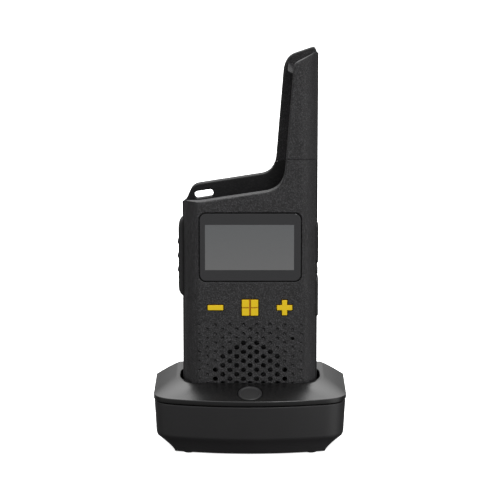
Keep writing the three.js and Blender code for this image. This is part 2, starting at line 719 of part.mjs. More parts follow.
function screwProfile(length, at, facing) {
  const profile = SCREW.map(([radius, t]) => [radius, at + facing * (t < 0 ? t * length : t)]);
  return facing < 0 ? profile.reverse() : profile;
}

function crossSlot(x, y, z, lieFlat) {
  return [0, Math.PI / 2].map((turn) => {
    const blade = new THREE.BoxGeometry(0.6, 1.5, 2.4).rotateY(turn);
    if (lieFlat) blade.rotateX(Math.PI / 2);
    return solidOf(blade.translate(x, y, z));
  });
}

function housingScrew(x, headY, z, length) {
  return cut(turnedAlongY(screwProfile(length, headY, 1), x, z, 14), ...crossSlot(x, headY + 1.3, z, false));
}

// ---------------------------------------------------------------- dock

// Closed plan outline: bowed front, swept front corners, straight sides, rounded back corners.
function plan({ flat, half, front, sideFrom, backY, backCorner }) {
  const right = [];
  for (let i = 0; i <= 4; i++) right.push(new THREE.Vector2((flat * i) / 4, front((flat * i) / 4)));
  const corner = new THREE.CubicBezierCurve(
    right.at(-1),
    new THREE.Vector2(half - (half - flat) * 0.3, front(flat) + (sideFrom - front(flat)) * 0.15),
    new THREE.Vector2(half, sideFrom - (sideFrom - front(flat)) * 0.55),
    new THREE.Vector2(half, sideFrom),
  );
  right.push(...corner.getPoints(6).slice(1));
  right.push(new THREE.Vector2(half, (sideFrom + backY - backCorner) / 2));
  for (let i = 0; i <= 4; i++) {
    const angle = (i / 4) * (Math.PI / 2);
    const x = half - backCorner * (1 - Math.cos(angle));
    right.push(new THREE.Vector2(x, backY - backCorner * (1 - Math.sin(angle))));
  }
  const left = right.slice(1).map((p) => new THREE.Vector2(-p.x, p.y));
  return [...right, ...left.reverse()];
}

function dockOutline(inset, backInset = inset, frontInset = inset) {
  const centreY = DOCK_FRONT_Y + DOCK_BOW;
  const radius = DOCK_BOW - frontInset;
  return plan({
    flat: DOCK_HALF_WIDTH - 9,
    half: DOCK_HALF_WIDTH - inset,
    front: (x) => centreY - Math.sqrt(radius ** 2 - x ** 2),
    sideFrom: -9.5 + inset * 0.2,
    backY: DOCK_BACK_Y - backInset,
    backCorner: Math.max(4 - inset * 0.4, 1),
  });
}

// Upper edge of the roof, just outside the pocket; its back runs along the dock's own upright back.
function rimOutline(back) {
  return plan({
    flat: 21,
    half: BODY_HALF_WIDTH + POCKET_CLEARANCE + RIM_WIDTH,
    front: (x) => ROOF_TOP_Y + 0.0008 * x * x,
    sideFrom: 3,
    backY: back,
    backCorner: 0.8,
  });
}

function dockRoofInside() {
  return loft([
    { points: dockOutline(DOCK_WALL), z: DOCK_SEAM_Z - 5 },
    { points: dockOutline(DOCK_WALL), z: DOCK_EDGE_Z - 1.7 },
    { points: rimOutline(DOCK_BACK_Y - DOCK_WALL), z: DOCK_RIM_Z - DOCK_WALL - 0.3 },
  ]);
}

function pocketWell() {
  const outside = alongZ(bodySection(POCKET_CLEARANCE + WELL_WALL), POCKET_FLOOR_Z - 2, DOCK_RIM_Z - 1);
  return outside.intersect(block(-60, 60, -60, DOCK_BACK_Y - 1, 0, 60));
}

function dockCover() {
  const shell = loft([
    { points: dockOutline(0.2), z: DOCK_SEAM_Z + GAP },
    { points: dockOutline(0), z: DOCK_SEAM_Z + 0.6 },
    { points: dockOutline(0), z: DOCK_EDGE_Z - 0.4 },
    { points: dockOutline(0.5), z: DOCK_EDGE_Z + 0.1 },
    { points: rimOutline(DOCK_BACK_Y - 0.5), z: DOCK_RIM_Z },
  ]);
  const hole = alongZ(bodySection(POCKET_CLEARANCE), POCKET_FLOOR_Z, DOCK_RIM_Z + 5);
  const pinHoles = [-PIN_X, PIN_X].map((x) => rod("z", 1.6, [x, PIN_Y], 0, 20, 14));
  const spots = dockScrewSpots();
  const bosses = spots.map(([x, y]) => rod("z", 2.6, [x, y], 4.9, POCKET_FLOOR_Z - 1, 16));
  const pilots = spots.map(([x, y]) => rod("z", 1.4, [x, y], 2, POCKET_FLOOR_Z - 0.8, 14));
  const body = joined(shell.subtract(dockRoofInside()), pocketWell(), ...bosses);
  return cut(body, hole, badgeDisc(BADGE_RADIUS + GAP, 0.9, 2), ...pinHoles, ...pilots);
}

const spread = (xs, ys) => xs.flatMap((x) => ys.map((y) => [x, y]));
const dockScrewSpots = () => spread([-DOCK_SCREW_X, DOCK_SCREW_X], [DOCK_SCREW_FRONT_Y, DOCK_SCREW_BACK_Y]);
const footSpots = () => spread([-FOOT_X, FOOT_X], [FOOT_FRONT_Y, FOOT_BACK_Y]);

function dockBase() {
  const section = (inset, z, backInset, frontInset) => ({
    points: dockOutline(inset, backInset, frontInset),
    z,
  });
  const shell = loft([
    section(7.6, DOCK_BASE_Z, 2.2, 3),
    section(1.2, DOCK_CHAMFER_Z, 0.3),
    section(0.3, DOCK_SEAM_Z - 0.4, 0.1),
    section(0.5, DOCK_SEAM_Z, 0.3),
  ]);
  const inside = loft([
    section(9.4, DOCK_BASE_Z + DOCK_WALL, 4.2, 5.2),
    section(3.4, DOCK_CHAMFER_Z + 0.8, DOCK_WALL + 0.3),
    section(DOCK_WALL, DOCK_SEAM_Z + 5, DOCK_WALL),
  ]);
  const spots = dockScrewSpots();
  const pads = spots.map(([x, y]) => rod("z", 3.6, [x, y], DOCK_BASE_Z + 0.5, 4.6, 16));
  const sinks = spots.flatMap(([x, y]) => [
    rod("z", 2.6, [x, y], 0, DOCK_BASE_Z + 2, 16),
    rod("z", 1.5, [x, y], 0, 10, 14),
  ]);
  const posts = spread([-11, 11], [-3, 12]).map((spot) => rod("z", 1.6, spot, DOCK_BASE_Z + 1, 3.5, 12));
  const feetSeats = footSpots().map((spot) => rod("z", FOOT_RADIUS + GAP, spot, -1, DOCK_BASE_Z + 0.7, 20));
  const socketHole = block(-4.2, 4.2, 21, 30, 4.9, 8.3);
  return cut(joined(shell.subtract(inside), ...pads, ...posts), ...sinks, ...feetSeats, socketHole);
}

function dockFoot([x, y]) {
  const top = DOCK_BASE_Z + 0.4;
  const profile = [
    [0, 0],
    [FOOT_RADIUS - 0.4, 0],
    [FOOT_RADIUS, 0.4],
    [FOOT_RADIUS, top],
    [0, top],
  ];
  return turnedAlongZ(profile, x, y, 20);
}

// A disc set square to the front slope of the roof, from a depth below it to a height above it.
function badgeDisc(radius, depth, height) {
  const rise = DOCK_RIM_Z - DOCK_EDGE_Z;
  const run = ROOF_TOP_Y - DOCK_FRONT_Y;
  const disc = new THREE.CylinderGeometry(radius, radius, depth + height, 24);
  disc.translate(0, (height - depth) / 2, 0).rotateX(Math.PI / 2 + Math.atan2(rise, run));
  return solidOf(disc.translate(0, DOCK_FRONT_Y + run * BADGE_SHARE, DOCK_EDGE_Z + rise * BADGE_SHARE));
}

function powerSocket() {
  return cut(block(-3.9, 3.9, 19.9, 25.7, 5.3, 8), block(-3.5, 3.5, 21, 30, 5.7, 7.6));
}

function chargeContactBlock() {
  const wells = [-PIN_X, PIN_X].map((x) => rod("z", 1.5, [x, PIN_Y], 5.9, 12, 14));
  return cut(block(-9, 9, PIN_Y - 3, PIN_Y + 3, 5.3, 8.4), ...wells);
}

function chargePin(x) {
  const profile = [
    [0, 7.6],
    [1.2, 7.6],
    [1.2, 9.8],
    [0.8, 9.8],
    [0.8, 11.5],
    [0.4, 11.9],
    [0, 11.9],
  ];
  return turnedAlongZ(profile, x, PIN_Y, 14);
}

// ---------------------------------------------------------------- assembly

const dock = new THREE.Group();
const radio = new THREE.Group();
const sides = { left: -1, right: 1 };

function place(parent, name, solid, look) {
  const mesh = new THREE.Mesh(geometryOf(solid), new THREE.MeshStandardMaterial(COLOURS[look]));
  mesh.name = name;
  parent.add(mesh);
}

place(dock, "dock_cover", dockCover(), "dock");
place(dock, "dock_base", dockBase(), "dockBase");
const corner = ([x, y]) => `${y < 0 ? "front" : "rear"}_${x < 0 ? "left" : "right"}`;
for (const spot of footSpots()) place(dock, `dock_foot_${corner(spot)}`, dockFoot(spot), "rubber");
for (const [x, y] of dockScrewSpots()) {
  const headZ = DOCK_BASE_Z + 2;
  const shank = turnedAlongZ(screwProfile(5.4, headZ, -1), x, y, 14);
  const screw = cut(shank, ...crossSlot(x, y, headZ - 1.3, true));
  place(dock, `dock_screw_${corner([x, y])}`, screw, "steel");
}
place(dock, "badge_disc", badgeDisc(BADGE_RADIUS, 0.5, 0.35), "dock");
place(dock, "dock_circuit_board", alongZ(roundedRectangle(0, 7.5, 30, 27, 1), 3.8, 5), "board");
place(dock, "dock_power_socket", powerSocket(), "steel");
place(dock, "charge_contact_block", chargeContactBlock(), "chip");

place(radio, "front_housing", frontHousing(), "housing");
place(radio, "rear_housing", rearHousing(), "rearHousing");
place(radio, "antenna_sleeve", antennaSleeve(), "housing");
place(radio, "antenna_core", rod("z", 1.2, [AERIAL.x, AERIAL.y], 108, 150, 12), "whitePlastic");
place(radio, "antenna_coil", aerialCoil(), "gold");
place(radio, "display_window", displayWindow(), "window");
place(radio, "display_panel", block(-19.6, 19.6, -8.3, -6.6, 72.8, 96.2), "lcd");
place(radio, "display_backlight", block(-19.6, 19.6, -6.3, -4.9, 71.5, 97), "whitePlastic");
place(radio, "key_minus", key(minusShape, -KEY_X), "key");
place(radio, "key_menu", menuKey(), "key");
place(radio, "key_plus", key(plusShape, KEY_X), "key");
place(radio, "keypad_mat", block(-19, 19, -6.4, -5.2, 54.6, 64.2), "rubber");
place(radio, "speaker_basket", speakerBasket(), "chip");
place(radio, "speaker_cone", speakerCone(), "paper");
place(radio, "speaker_magnet", rod("y", 8.4, [0, SPEAKER_Z], -4.3, -0.8, 24), "steel");
place(radio, "microphone", rod("y", 2, [grilleX(MIC.column), grilleZ(MIC.row)], -8.3, -6, 16), "rubber");
place(radio, "main_circuit_board", alongY(roundedRectangle(0, 75.8, 44, 43, 1.5), -3.6, -2.4), "board");
place(radio, "radio_shield_can", block(-15, 11, -2.1, 0.8, 71, 94), "steel");
place(radio, "ptt_button", pttButton(), "rubber");
place(radio, "ptt_switch", pttSwitch(), "chip");
place(radio, "accessory_jack", accessoryJack(), "chip");
place(radio, "usb_socket", usbSocket(), "steel");
place(radio, "accessory_port_flap", portFlap(FLAP.upperZ, 1, jackPlug()), "rubber");
place(radio, "usb_port_flap", portFlap(FLAP.lowerZ, -1, usbPlug()), "rubber");
place(radio, "port_cover_anchor", portCoverAnchor(), "rubber");
place(radio, "belt_clip_bracket", clipBracket(), "rearHousing");
place(radio, "belt_clip_pin", rod("x", 0.9, [CLIP_PIN.y, CLIP_PIN.z], -11, 11, 16), "steel");
place(radio, "belt_clip_spring", clipSpring(), "steel");
place(radio, "belt_clip", beltClip(), "rearHousing");
place(radio, "battery_door", batteryDoor(), "rearHousing");
place(radio, "battery_door_latch", doorLatch(), "rubber");
for (const [name, row] of [["lower", -1], ["middle", 0], ["upper", 1]]) {
  place(radio, `battery_cell_${name}`, batteryCell(row), "cell");
}
for (const [side, sign] of Object.entries(sides)) {
  place(dock, `charge_pin_${side}`, chargePin(sign * PIN_X), "gold");
  const [x, y] = [sign * PIN_X, PIN_Y];
  place(radio, `charge_pad_${side}`, block(x - 2.2, x + 2.2, y - 2.2, y + 2.2, 12.2, 13.4), "gold");
  place(radio, `battery_contact_${side}`, batteryContact(sign), "steel");
  place(radio, `tray_screw_${side}`, housingScrew(sign * TRAY_SCREW.x, 2.8, TRAY_SCREW.z, 9), "steel");
  place(radio, `lower_screw_${side}`, housingScrew(sign * LOWER_SCREW.x, 3.5, LOWER_SCREW.z, 9.6), "steel");
}

const assembly = new THREE.Group();
assembly.add(dock, radio);

export default assembly;
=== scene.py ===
"""A two-way radio standing in its charging dock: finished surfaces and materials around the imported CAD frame.

Shapes are worked out in millimetres, in the frame's own axes (+Z up, the display facing -Y), and turned into
metres when a mesh is made.
"""

import json
from math import atan2, cos, pi, radians, sin, sqrt

import bmesh
import bpy
from mathutils import Matrix, Vector


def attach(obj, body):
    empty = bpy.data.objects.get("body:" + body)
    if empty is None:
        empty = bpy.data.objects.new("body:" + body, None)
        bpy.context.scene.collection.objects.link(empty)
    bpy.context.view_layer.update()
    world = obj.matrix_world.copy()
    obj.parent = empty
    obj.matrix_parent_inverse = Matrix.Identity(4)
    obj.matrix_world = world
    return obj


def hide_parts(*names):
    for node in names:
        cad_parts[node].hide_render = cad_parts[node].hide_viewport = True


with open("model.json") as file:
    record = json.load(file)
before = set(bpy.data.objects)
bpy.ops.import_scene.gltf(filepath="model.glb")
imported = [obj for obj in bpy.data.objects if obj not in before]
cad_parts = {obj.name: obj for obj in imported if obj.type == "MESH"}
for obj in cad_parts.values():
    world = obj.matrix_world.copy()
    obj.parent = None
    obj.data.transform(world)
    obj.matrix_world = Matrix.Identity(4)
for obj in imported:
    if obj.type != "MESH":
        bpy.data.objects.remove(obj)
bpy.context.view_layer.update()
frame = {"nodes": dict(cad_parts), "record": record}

MM = 0.001

# ------------------------------------------------------------------ dimensions (mm)

# Radio
GAP = 0.3  # between pieces that fit together
HALF_WIDTH = 27.9
FRONT_Y = -11.0
BACK_Y = 17.0
FIN_BACK_Y = 12.0  # back of the thin upper body
FIN_FRONT_Y = 7.5  # front of the tall rear lip
LEDGE_BACK_Y = -5.5  # back of the low front lip
VALLEY_END_Y = FIN_FRONT_Y + 0.5
PARTING_Y = -4.0  # between the front and rear housings
BOTTOM_Z = 11.2
SEAM_Z = 121.0  # where the antenna begins, at the front face
SEAM_SLOPE = 0.19
SEAM_GAP = 0.16
TIP_Z = 164.8
TAPER = 0.25  # share of its depth that the antenna loses by the tip
WALL = 2.2
ANTENNA_CORE = (22.6, -1.5)  # x, y
CASE_SCREW = (20, 19.5)  # x, z

# Display and keys
WINDOW = (0.1, 84.5, 42.3, 29.0)  # x, z, width, height
PANE = (-0.2, 84.5, 18.2, 9.4)  # x, z, half width, half height
KEY_X, KEY_Z = 14.2, 59.4
KEY_TOP_Y = FRONT_Y - 0.35
FLANGE_Y = -8.2  # front of the flange that holds a key in
MIC = (3, 6)  # row and column in the grille

# Sides and back
TALK_Y, TALK_Z = 3.5, 78.4
FLAP_Y = 1.2
JACK_Z, USB_Z = 84.7, 61.9
SEAT_X = HALF_WIDTH - 1.1  # floor of the recess for the socket covers
COVER_X = SEAT_X + GAP
CLIP_Y, CLIP_Z = 20.6, 91.5  # pin of the belt clip
CLIP_PEG = (7, 87.5)  # x, z
DOOR_HINGE = (16.1, 31)  # y, z
LATCH_Z = 61.25

# Dock
DOCK_HALF = 39.85
DOCK_FRONT_Y = -26.0
DOCK_BACK_Y = 26.0
DOCK_BOW = 111.0  # radius of the bowed front
BASE_Z = 0.5
CHAMFER_Z = 6.4  # top of the slanting foot
DOCK_SEAM_Z = 20.9
EDGE_Z = 23.4  # outer edge of the roof
RIM_Z = 27.9  # top of the roof, around the pocket
CLEARANCE = 1.1  # around the radio in its pocket
RIM = 1.4
FLOOR_Z = 10.7  # the radio's foot stands just above it
ROOF_TOP_Y = FRONT_Y - CLEARANCE - RIM
PIN = (5.0, 3.0)  # x, y of a charge pin
FEET = [(x, y) for x in (-25.2, 25.2) for y in (-17.0, 18.5)]
DOCK_SCREWS = [(x, y) for x in (-20.0, 20.0) for y in (-8.0, 16.5)]

# ------------------------------------------------------------------ outlines


class Outline:
    """A closed line of straight and curved stretches in a plane."""

    def __init__(self, x, y):
        self.points = [Vector((x, y))]

    def line(self, x, y):
        self.points.append(Vector((x, y)))
        return self

    def curve(self, cx, cy, x, y, steps=14):
        start, bend, end = self.points[-1].copy(), Vector((cx, cy)), Vector((x, y))
        for i in range(1, steps + 1):
            t = i / steps
            self.points.append(start * (1 - t) ** 2 + bend * 2 * t * (1 - t) + end * t**2)
        return self

    def arc(self, cx, cy, rx, ry, start, end, steps=20):
        for i in range(steps + 1):
            a = radians(start + (end - start) * i / steps)
            p = Vector((cx + rx * cos(a), cy + ry * sin(a)))
            if (p - self.points[-1]).length > 1e-4:
                self.points.append(p)
        return self


def rounded(cx, cy, w, h, r, steps=6):
    """A rectangle with round corners."""
    left, right, low, high = cx - w / 2, cx + w / 2, cy - h / 2, cy + h / 2
    line = Outline(left + r, low)
    line.arc(right - r, low + r, r, r, -90, 0, steps).arc(right - r, high - r, r, r, 0, 90, steps)
    line.arc(left + r, high - r, r, r, 90, 180, steps).arc(left + r, low + r, r, r, 180, 270, steps)
    return clean(line.points)


def circle(cx, cy, r, steps):
    turns = [2 * pi * i / steps for i in range(steps)]
    return [Vector((cx + r * cos(a), cy + r * sin(a))) for a in turns]


def polygon(*points):
    return [Vector(p) for p in points]


def clean(points):
    """The closed line without points that fall on the one before."""
    kept = [points[0]]
    for p in points[1:]:
        if (p - kept[-1]).length > 1e-3:
            kept.append(p)
    if (kept[0] - kept[-1]).length < 1e-3:
        kept.pop()
    return kept


def grow(points, distance):
    """The closed line moved outwards (anticlockwise lines) by a distance, with mitred corners."""
    if not distance:
        return points
    moved = []
    for i, p in enumerate(points):
        before, after = p - points[i - 1], points[(i + 1) % len(points)] - p
        a = Vector((before.y, -before.x)).normalized()
        b = Vector((after.y, -after.x)).normalized()
        moved.append(p + (a + b) * (distance / max(1 + a.dot(b), 0.3)))
    return moved


def body_section(outset=0.0, steps=28):
    """The radio cut across: flat front and back, long elliptical front corners and tighter rear ones."""
    flat, front, back, back_flat = 20.5, 2.0, 8.0, 21.5
    side, fy, by = HALF_WIDTH + outset, FRONT_Y - outset, BACK_Y + outset
    line = Outline(-flat, fy)
    line.arc(flat, front, side - flat, front - fy, -90, 0, steps)
    line.arc(back_flat, back, side - back_flat, by - back, 0, 90, steps // 2)
    line.arc(-back_flat, back, side - back_flat, by - back, 90, 180, steps // 2)
    line.arc(-flat, front, side - flat, front - fy, 180, 270, steps)
    return clean(line.points)


def from_bottom():
    line = Outline(-HALF_WIDTH - 1, BOTTOM_Z - 1)
    return line.line(HALF_WIDTH + 1, BOTTOM_Z - 1)


def front_outline():
    """Front lip seen from the front: shoulder, sweep into the antenna and slanted tip."""
    line = from_bottom()
    line.line(HALF_WIDTH + 1, 160).line(HALF_WIDTH, 164.0)
    line.curve(HALF_WIDTH, TIP_Z + 0.1, HALF_WIDTH - 1, 164.55, 6)
    line.line(19.4, 160.7).curve(17.8, 159.9, 17.6, 157.8, 8)
    line.line(14.4, 117).curve(13.7, 108.6, 6.4, 107.5, 20)
    line.line(-14.9, 104.3).curve(-18.5, 103.6, -21.5, 103.45, 10)
    line.line(-HALF_WIDTH + 0.7, 103.35).curve(-HALF_WIDTH, 103.35, -HALF_WIDTH, 102.8, 6)
    line.line(-HALF_WIDTH - 1, 100)
    return clean(line.points)


def fin_outline():
    """Rear lip: the same sweep standing about 4 mm outside the front one."""
    line = from_bottom()
    line.line(HALF_WIDTH + 1, 155).line(HALF_WIDTH, 161.6).curve(26.9, 165.5, 25.7, 165.2, 10)
    line.line(18.4, 162.7).curve(14.1, 161, 13.65, 154.8, 14)
    line.line(10.9, 119.8).curve(10.3, 112.9, 5, 112, 18)
    line.line(-20.6, 108).curve(-23.7, 107.5, -24.6, 105.2, 12)
    line.line(-26.2, 101.6).curve(-26.7, 100.4, -HALF_WIDTH - 1, 100.1, 6)
    return clean(line.points)


def valley_outline():
    """Floor of the valley between the lips."""
    line = from_bottom()
    line.line(HALF_WIDTH + 1, 160).line(HALF_WIDTH, 162.6).line(21, 159.2).curve(19.5, 158.4, 19.2, 155.5, 8)
    line.line(16.1, 114.5).curve(15.6, 106.1, 7.9, 104.9, 18)
    line.line(-14.9, 101.5).curve(-20, 100.8, -26, 100.7, 10).line(-HALF_WIDTH - 1, 100.6)
    return clean(line.points)


def side_outline():
    """The radio seen from its side: (y, z)."""
    line = Outline(FRONT_Y, 15).curve(FRONT_Y, BOTTOM_Z, FRONT_Y + 2.8, BOTTOM_Z, 8)
    line.line(BACK_Y - 2.8, BOTTOM_Z).curve(BACK_Y, BOTTOM_Z, BACK_Y, 15, 8)
    line.line(BACK_Y, 94.8).curve(BACK_Y, 96.4, BACK_Y - 1.2, 97.3, 8)
    line.line(FIN_BACK_Y + 0.9, 99.4).curve(FIN_BACK_Y, 100.2, FIN_BACK_Y, 101.6, 8)
    line.line(FIN_BACK_Y, 168).line(FRONT_Y, 168)
    return clean(line.points)


def cavity_outline():
    """The room inside the housings, seen from the front."""
    line = Outline(-25.6, 13.6).line(25.6, 13.6).line(25.6, 115).line(18.6, 115)
    return line.line(18.2, 104.2).line(8.4, 102.6).line(-14.8, 99.2).line(-25.6, 98.4).points


def dock_plan(flat, half, front, side_from, back_y, back_corner):
    """Closed plan outline: bowed front, swept front corners, straight sides, rounded back corners."""
    front_steps, corner_steps, side_steps, back_steps = 16, 14, 6, 8
    bow = [flat * i / front_steps for i in range(front_steps + 1)]
    right = [Vector((x, front(x))) for x in bow]
    a = right[-1].copy()
    rise = side_from - a.y
    b, c, d = (
        Vector((half - (half - flat) * 0.3, a.y + rise * 0.15)),
        Vector((half, side_from - rise * 0.55)),
        Vector((half, side_from)),
    )
    for i in range(1, corner_steps + 1):
        t = i / corner_steps
        right.append(a * (1 - t) ** 3 + b * 3 * t * (1 - t) ** 2 + c * 3 * t**2 * (1 - t) + d * t**3)
    for i in range(1, side_steps):
        right.append(Vector((half, side_from + (back_y - back_corner - side_from) * i / side_steps)))
    for i in range(back_steps + 1):
        turn = radians(90 * i / back_steps)
        right.append(Vector((half - back_corner * (1 - cos(turn)), back_y - back_corner * (1 - sin(turn)))))
    left = [Vector((-p.x, p.y)) for p in right[1:]]
    return right + left[::-1]


def dock_outline(inset, back_inset=None, front_inset=None):
    """The dock from above, drawn in by an inset that may differ at the back and the front."""
    centre, radius = DOCK_FRONT_Y + DOCK_BOW, DOCK_BOW - (inset if front_inset is None else front_inset)
    return dock_plan(
        flat=DOCK_HALF - 9,
        half=DOCK_HALF - inset,
        front=lambda x: centre - sqrt(radius**2 - x**2),
        side_from=-9.5 + inset * 0.2,
        back_y=DOCK_BACK_Y - (inset if back_inset is None else back_inset),
        back_corner=max(4 - inset * 0.4, 1),
    )


def rim_outline(back_y):
    """The rim around the pocket from above."""
    return dock_plan(
        flat=21,
        half=HALF_WIDTH + CLEARANCE + RIM,
        front=lambda x: ROOF_TOP_Y + 0.0008 * x * x,
        side_from=3,
        back_y=back_y,
        back_corner=0.8,
    )


# ------------------------------------------------------------------ solids


def loft(rings):
    """A closed mesh through rings of equal point counts, in millimetres."""
    mesh = bpy.data.meshes.new("solid")
    built = bmesh.new()
    rows = [[built.verts.new(Vector(p) * MM) for p in ring] for ring in rings]
    for low, high in zip(rows, rows[1:]):
        for i in range(len(low)):
            j = (i + 1) % len(low)
            built.faces.new((low[i], low[j], high[j], high[i]))
    built.faces.new(rows[0][::-1])
    built.faces.new(rows[-1])
    bmesh.ops.recalc_face_normals(built, faces=built.faces)
    built.to_mesh(mesh)
    built.free()
    piece = bpy.data.objects.new("solid", mesh)
    bpy.context.scene.collection.objects.link(piece)
    return piece


PLANES = {
    "x": lambda p, t: (t, p.x, p.y),
    "y": lambda p, t: (p.x, t, p.y),
    "z": lambda p, t: (p.x, p.y, t),
}


def prism(axis, points, start, end, round_start=0.0, round_end=0.0):
    """An outline pushed along an axis; its end edges are rounded by the radii given."""
    at, steps = PLANES[axis], 4
    levels = []
    for i in range(steps + 1 if round_start else 1):
        turn = radians(90 * i / steps) if round_start else pi / 2
        levels.append((start + round_start * (1 - cos(turn)), -round_start * (1 - sin(turn))))
    for i in range(steps + 1 if round_end else 1):
        turn = radians(90 * (steps - i) / steps) if round_end else pi / 2
        levels.append((end - round_end * (1 - cos(turn)), -round_end * (1 - sin(turn))))
    return loft([[at(p, t) for p in grow(points, offset)] for t, offset in levels])


def pocket(axis, points, surface, bottom, flare):
    """A cutting tool for a pocket whose mouth, at the surface, is rounded over by the flare radius."""
    at, steps = PLANES[axis], 3
    inward = 1 if bottom > surface else -1
    levels = [(bottom, 0.0)]
    for i in range(steps + 1):
        turn = radians(90 * i / steps)
        levels.append((surface + inward * flare * (1 - sin(turn)), flare * (1 - cos(turn))))
    levels.append((surface - inward * 1.0, flare))
    return loft([[at(p, t) for p in grow(points, offset)] for t, offset in levels])


def turned(axis, profile, centre, sides=32):
    """A profile of (radius, distance along the axis) spun about a line through the centre, with flat ends."""
    at = PLANES[axis]
    rings = []
    for radius, t in profile:
        rings.append([at(Vector(centre) + p, t) for p in circle(0, 0, max(radius, 0.001), sides)])
    return loft(rings)


def box(x0, x1, y0, y1, z0, z1):
    return prism("z", polygon((x0, y0), (x1, y0), (x1, y1), (x0, y1)), z0, z1)


def beyond_seam(side):
    """Everything above (1) or below (-1) the antenna's seam, which falls towards the back."""
    half = box(-60, 60, -60, 60, *sorted((side * SEAM_GAP / 2, side * 150)))
    tilt = Matrix.Rotation(-atan2(SEAM_SLOPE, 1), 4, "X")
    half.data.transform(Matrix.Translation((0, FRONT_Y * MM, SEAM_Z * MM)) @ tilt)
    return half


def seam_tongue(extra=0.0):
    """A tongue on the sleeve stands in a groove of the housings and closes the seam from within."""
    back, low, high = 10.9 + extra, SEAM_Z - 4.4 - extra, SEAM_Z + 1
    tongue = box(17.9 - extra, 26.2 + extra, -7.4 - extra, back, low, high)
    add(tongue, box(11.6 - extra, 20, 8.7 - extra, back, low, high))
    return common(tongue, prism("z", body_section(extra - 1.2), 100, 130))


def join(pieces):
    """Several separate solids as one object, for use as a single tool."""
    built = bmesh.new()
    for piece in pieces:
        built.from_mesh(piece.data)
        bpy.data.objects.remove(piece)
    mesh = bpy.data.meshes.new("tools")
    built.to_mesh(mesh)
    built.free()
    joined = bpy.data.objects.new("tools", mesh)
    bpy.context.scene.collection.objects.link(joined)
    return joined


def combine(piece, operation, *tools):
    """Boolean of a closed piece with closed tools, one after another. The tools are used up."""
    for tool in tools:
        step = piece.modifiers.new("step", "BOOLEAN")
        step.operation, step.solver, step.object = operation, "MANIFOLD", tool
    bpy.context.view_layer.update()
    graph = bpy.context.evaluated_depsgraph_get()
    result = bpy.data.meshes.new_from_object(piece.evaluated_get(graph))
    piece.modifiers.clear()
    piece.data = result
    for tool in tools:
        bpy.data.objects.remove(tool)
    if not len(result.polygons):
        raise RuntimeError(f"{piece.name}: nothing left after {operation}")
    return piece


def cut(piece, *tools):
    return combine(piece, "DIFFERENCE", *tools)


def add(piece, *tools):
    return combine(piece, "UNION", *tools)


def common(piece, *tools):
    return combine(piece, "INTERSECT", *tools)


# ------------------------------------------------------------------ materials

SOFT_EDGE = 0.12  # mm
SMOOTH_ANGLE = 32  # degrees


def material(name, colour, roughness, metallic=0.0, specular=0.5):
    made = bpy.data.materials.new(name)
    made.use_nodes = True
    shader = made.node_tree.nodes["Principled BSDF"]
    shader.inputs["Base Color"].default_value = (*colour, 1)
    shader.inputs["Roughness"].default_value = roughness
    shader.inputs["Metallic"].default_value = metallic
    shader.inputs["Specular IOR Level"].default_value = specular
    return made


class Nodes:
    """Short forms for building a node tree."""

    def __init__(self, tree, coords="Object"):
        self.tree = tree
        self.coords = tree.nodes.new("ShaderNodeTexCoord").outputs[coords]

    def link(self, source, target):
        self.tree.links.new(source, target)

    def noise(self, size_mm, detail, roughness=0.5):
        node = self.tree.nodes.new("ShaderNodeTexNoise")
        node.inputs["Scale"].default_value = 1 / (size_mm * MM)
        node.inputs["Detail"].default_value = detail
        node.inputs["Roughness"].default_value = roughness
        self.link(self.coords, node.inputs["Vector"])
        return node.outputs["Fac"]

    def math(self, operation, a, b=None, c=None):
        node = self.tree.nodes.new("ShaderNodeMath")
        node.operation = operation
        for socket, value in zip(node.inputs, (a, b, c)):
            if value is None:
                continue
            if isinstance(value, (int, float)):
                socket.default_value = value
            else:
                self.link(value, socket)
        return node.outputs[0]

    def remap(self, value, low, high, to_low=0.0, to_high=1.0):
        node = self.tree.nodes.new("ShaderNodeMapRange")
        for socket, number in zip(list(node.inputs)[1:5], (low, high, to_low, to_high)):
            socket.default_value = number
        self.link(value, node.inputs[0])
        return node.outputs[0]

    def mix(self, factor, a, b):
        node = self.tree.nodes.new("ShaderNodeMix")
        node.data_type = "RGBA"
        for socket, value in zip((node.inputs[0], node.inputs[6], node.inputs[7]), (factor, a, b)):
            if isinstance(value, tuple):
                socket.default_value = (*value, 1)
            elif isinstance(value, (int, float)):
                socket.default_value = value
            else:
                self.link(value, socket)
        return node.outputs[2]

    def bump(self, height, depth_mm, under):
        node = self.tree.nodes.new("ShaderNodeBump")
        node.inputs["Distance"].default_value = depth_mm * MM
        node.inputs["Strength"].default_value = 1.0
        self.link(height, node.inputs["Height"])
        self.link(under, node.inputs["Normal"])
        return node.outputs["Normal"]

    def edge(self, radius_mm):
        node = self.tree.nodes.new("ShaderNodeBevel")
        node.samples = 4
        node.inputs["Radius"].default_value = radius_mm * MM
        return node.outputs["Normal"]

    def split(self, vector):
        node = self.tree.nodes.new("ShaderNodeSeparateXYZ")
        self.link(vector, node.inputs[0])
        return node.outputs

    def set(self, socket, value):
        self.link(value, self.tree.nodes["Principled BSDF"].inputs[socket])


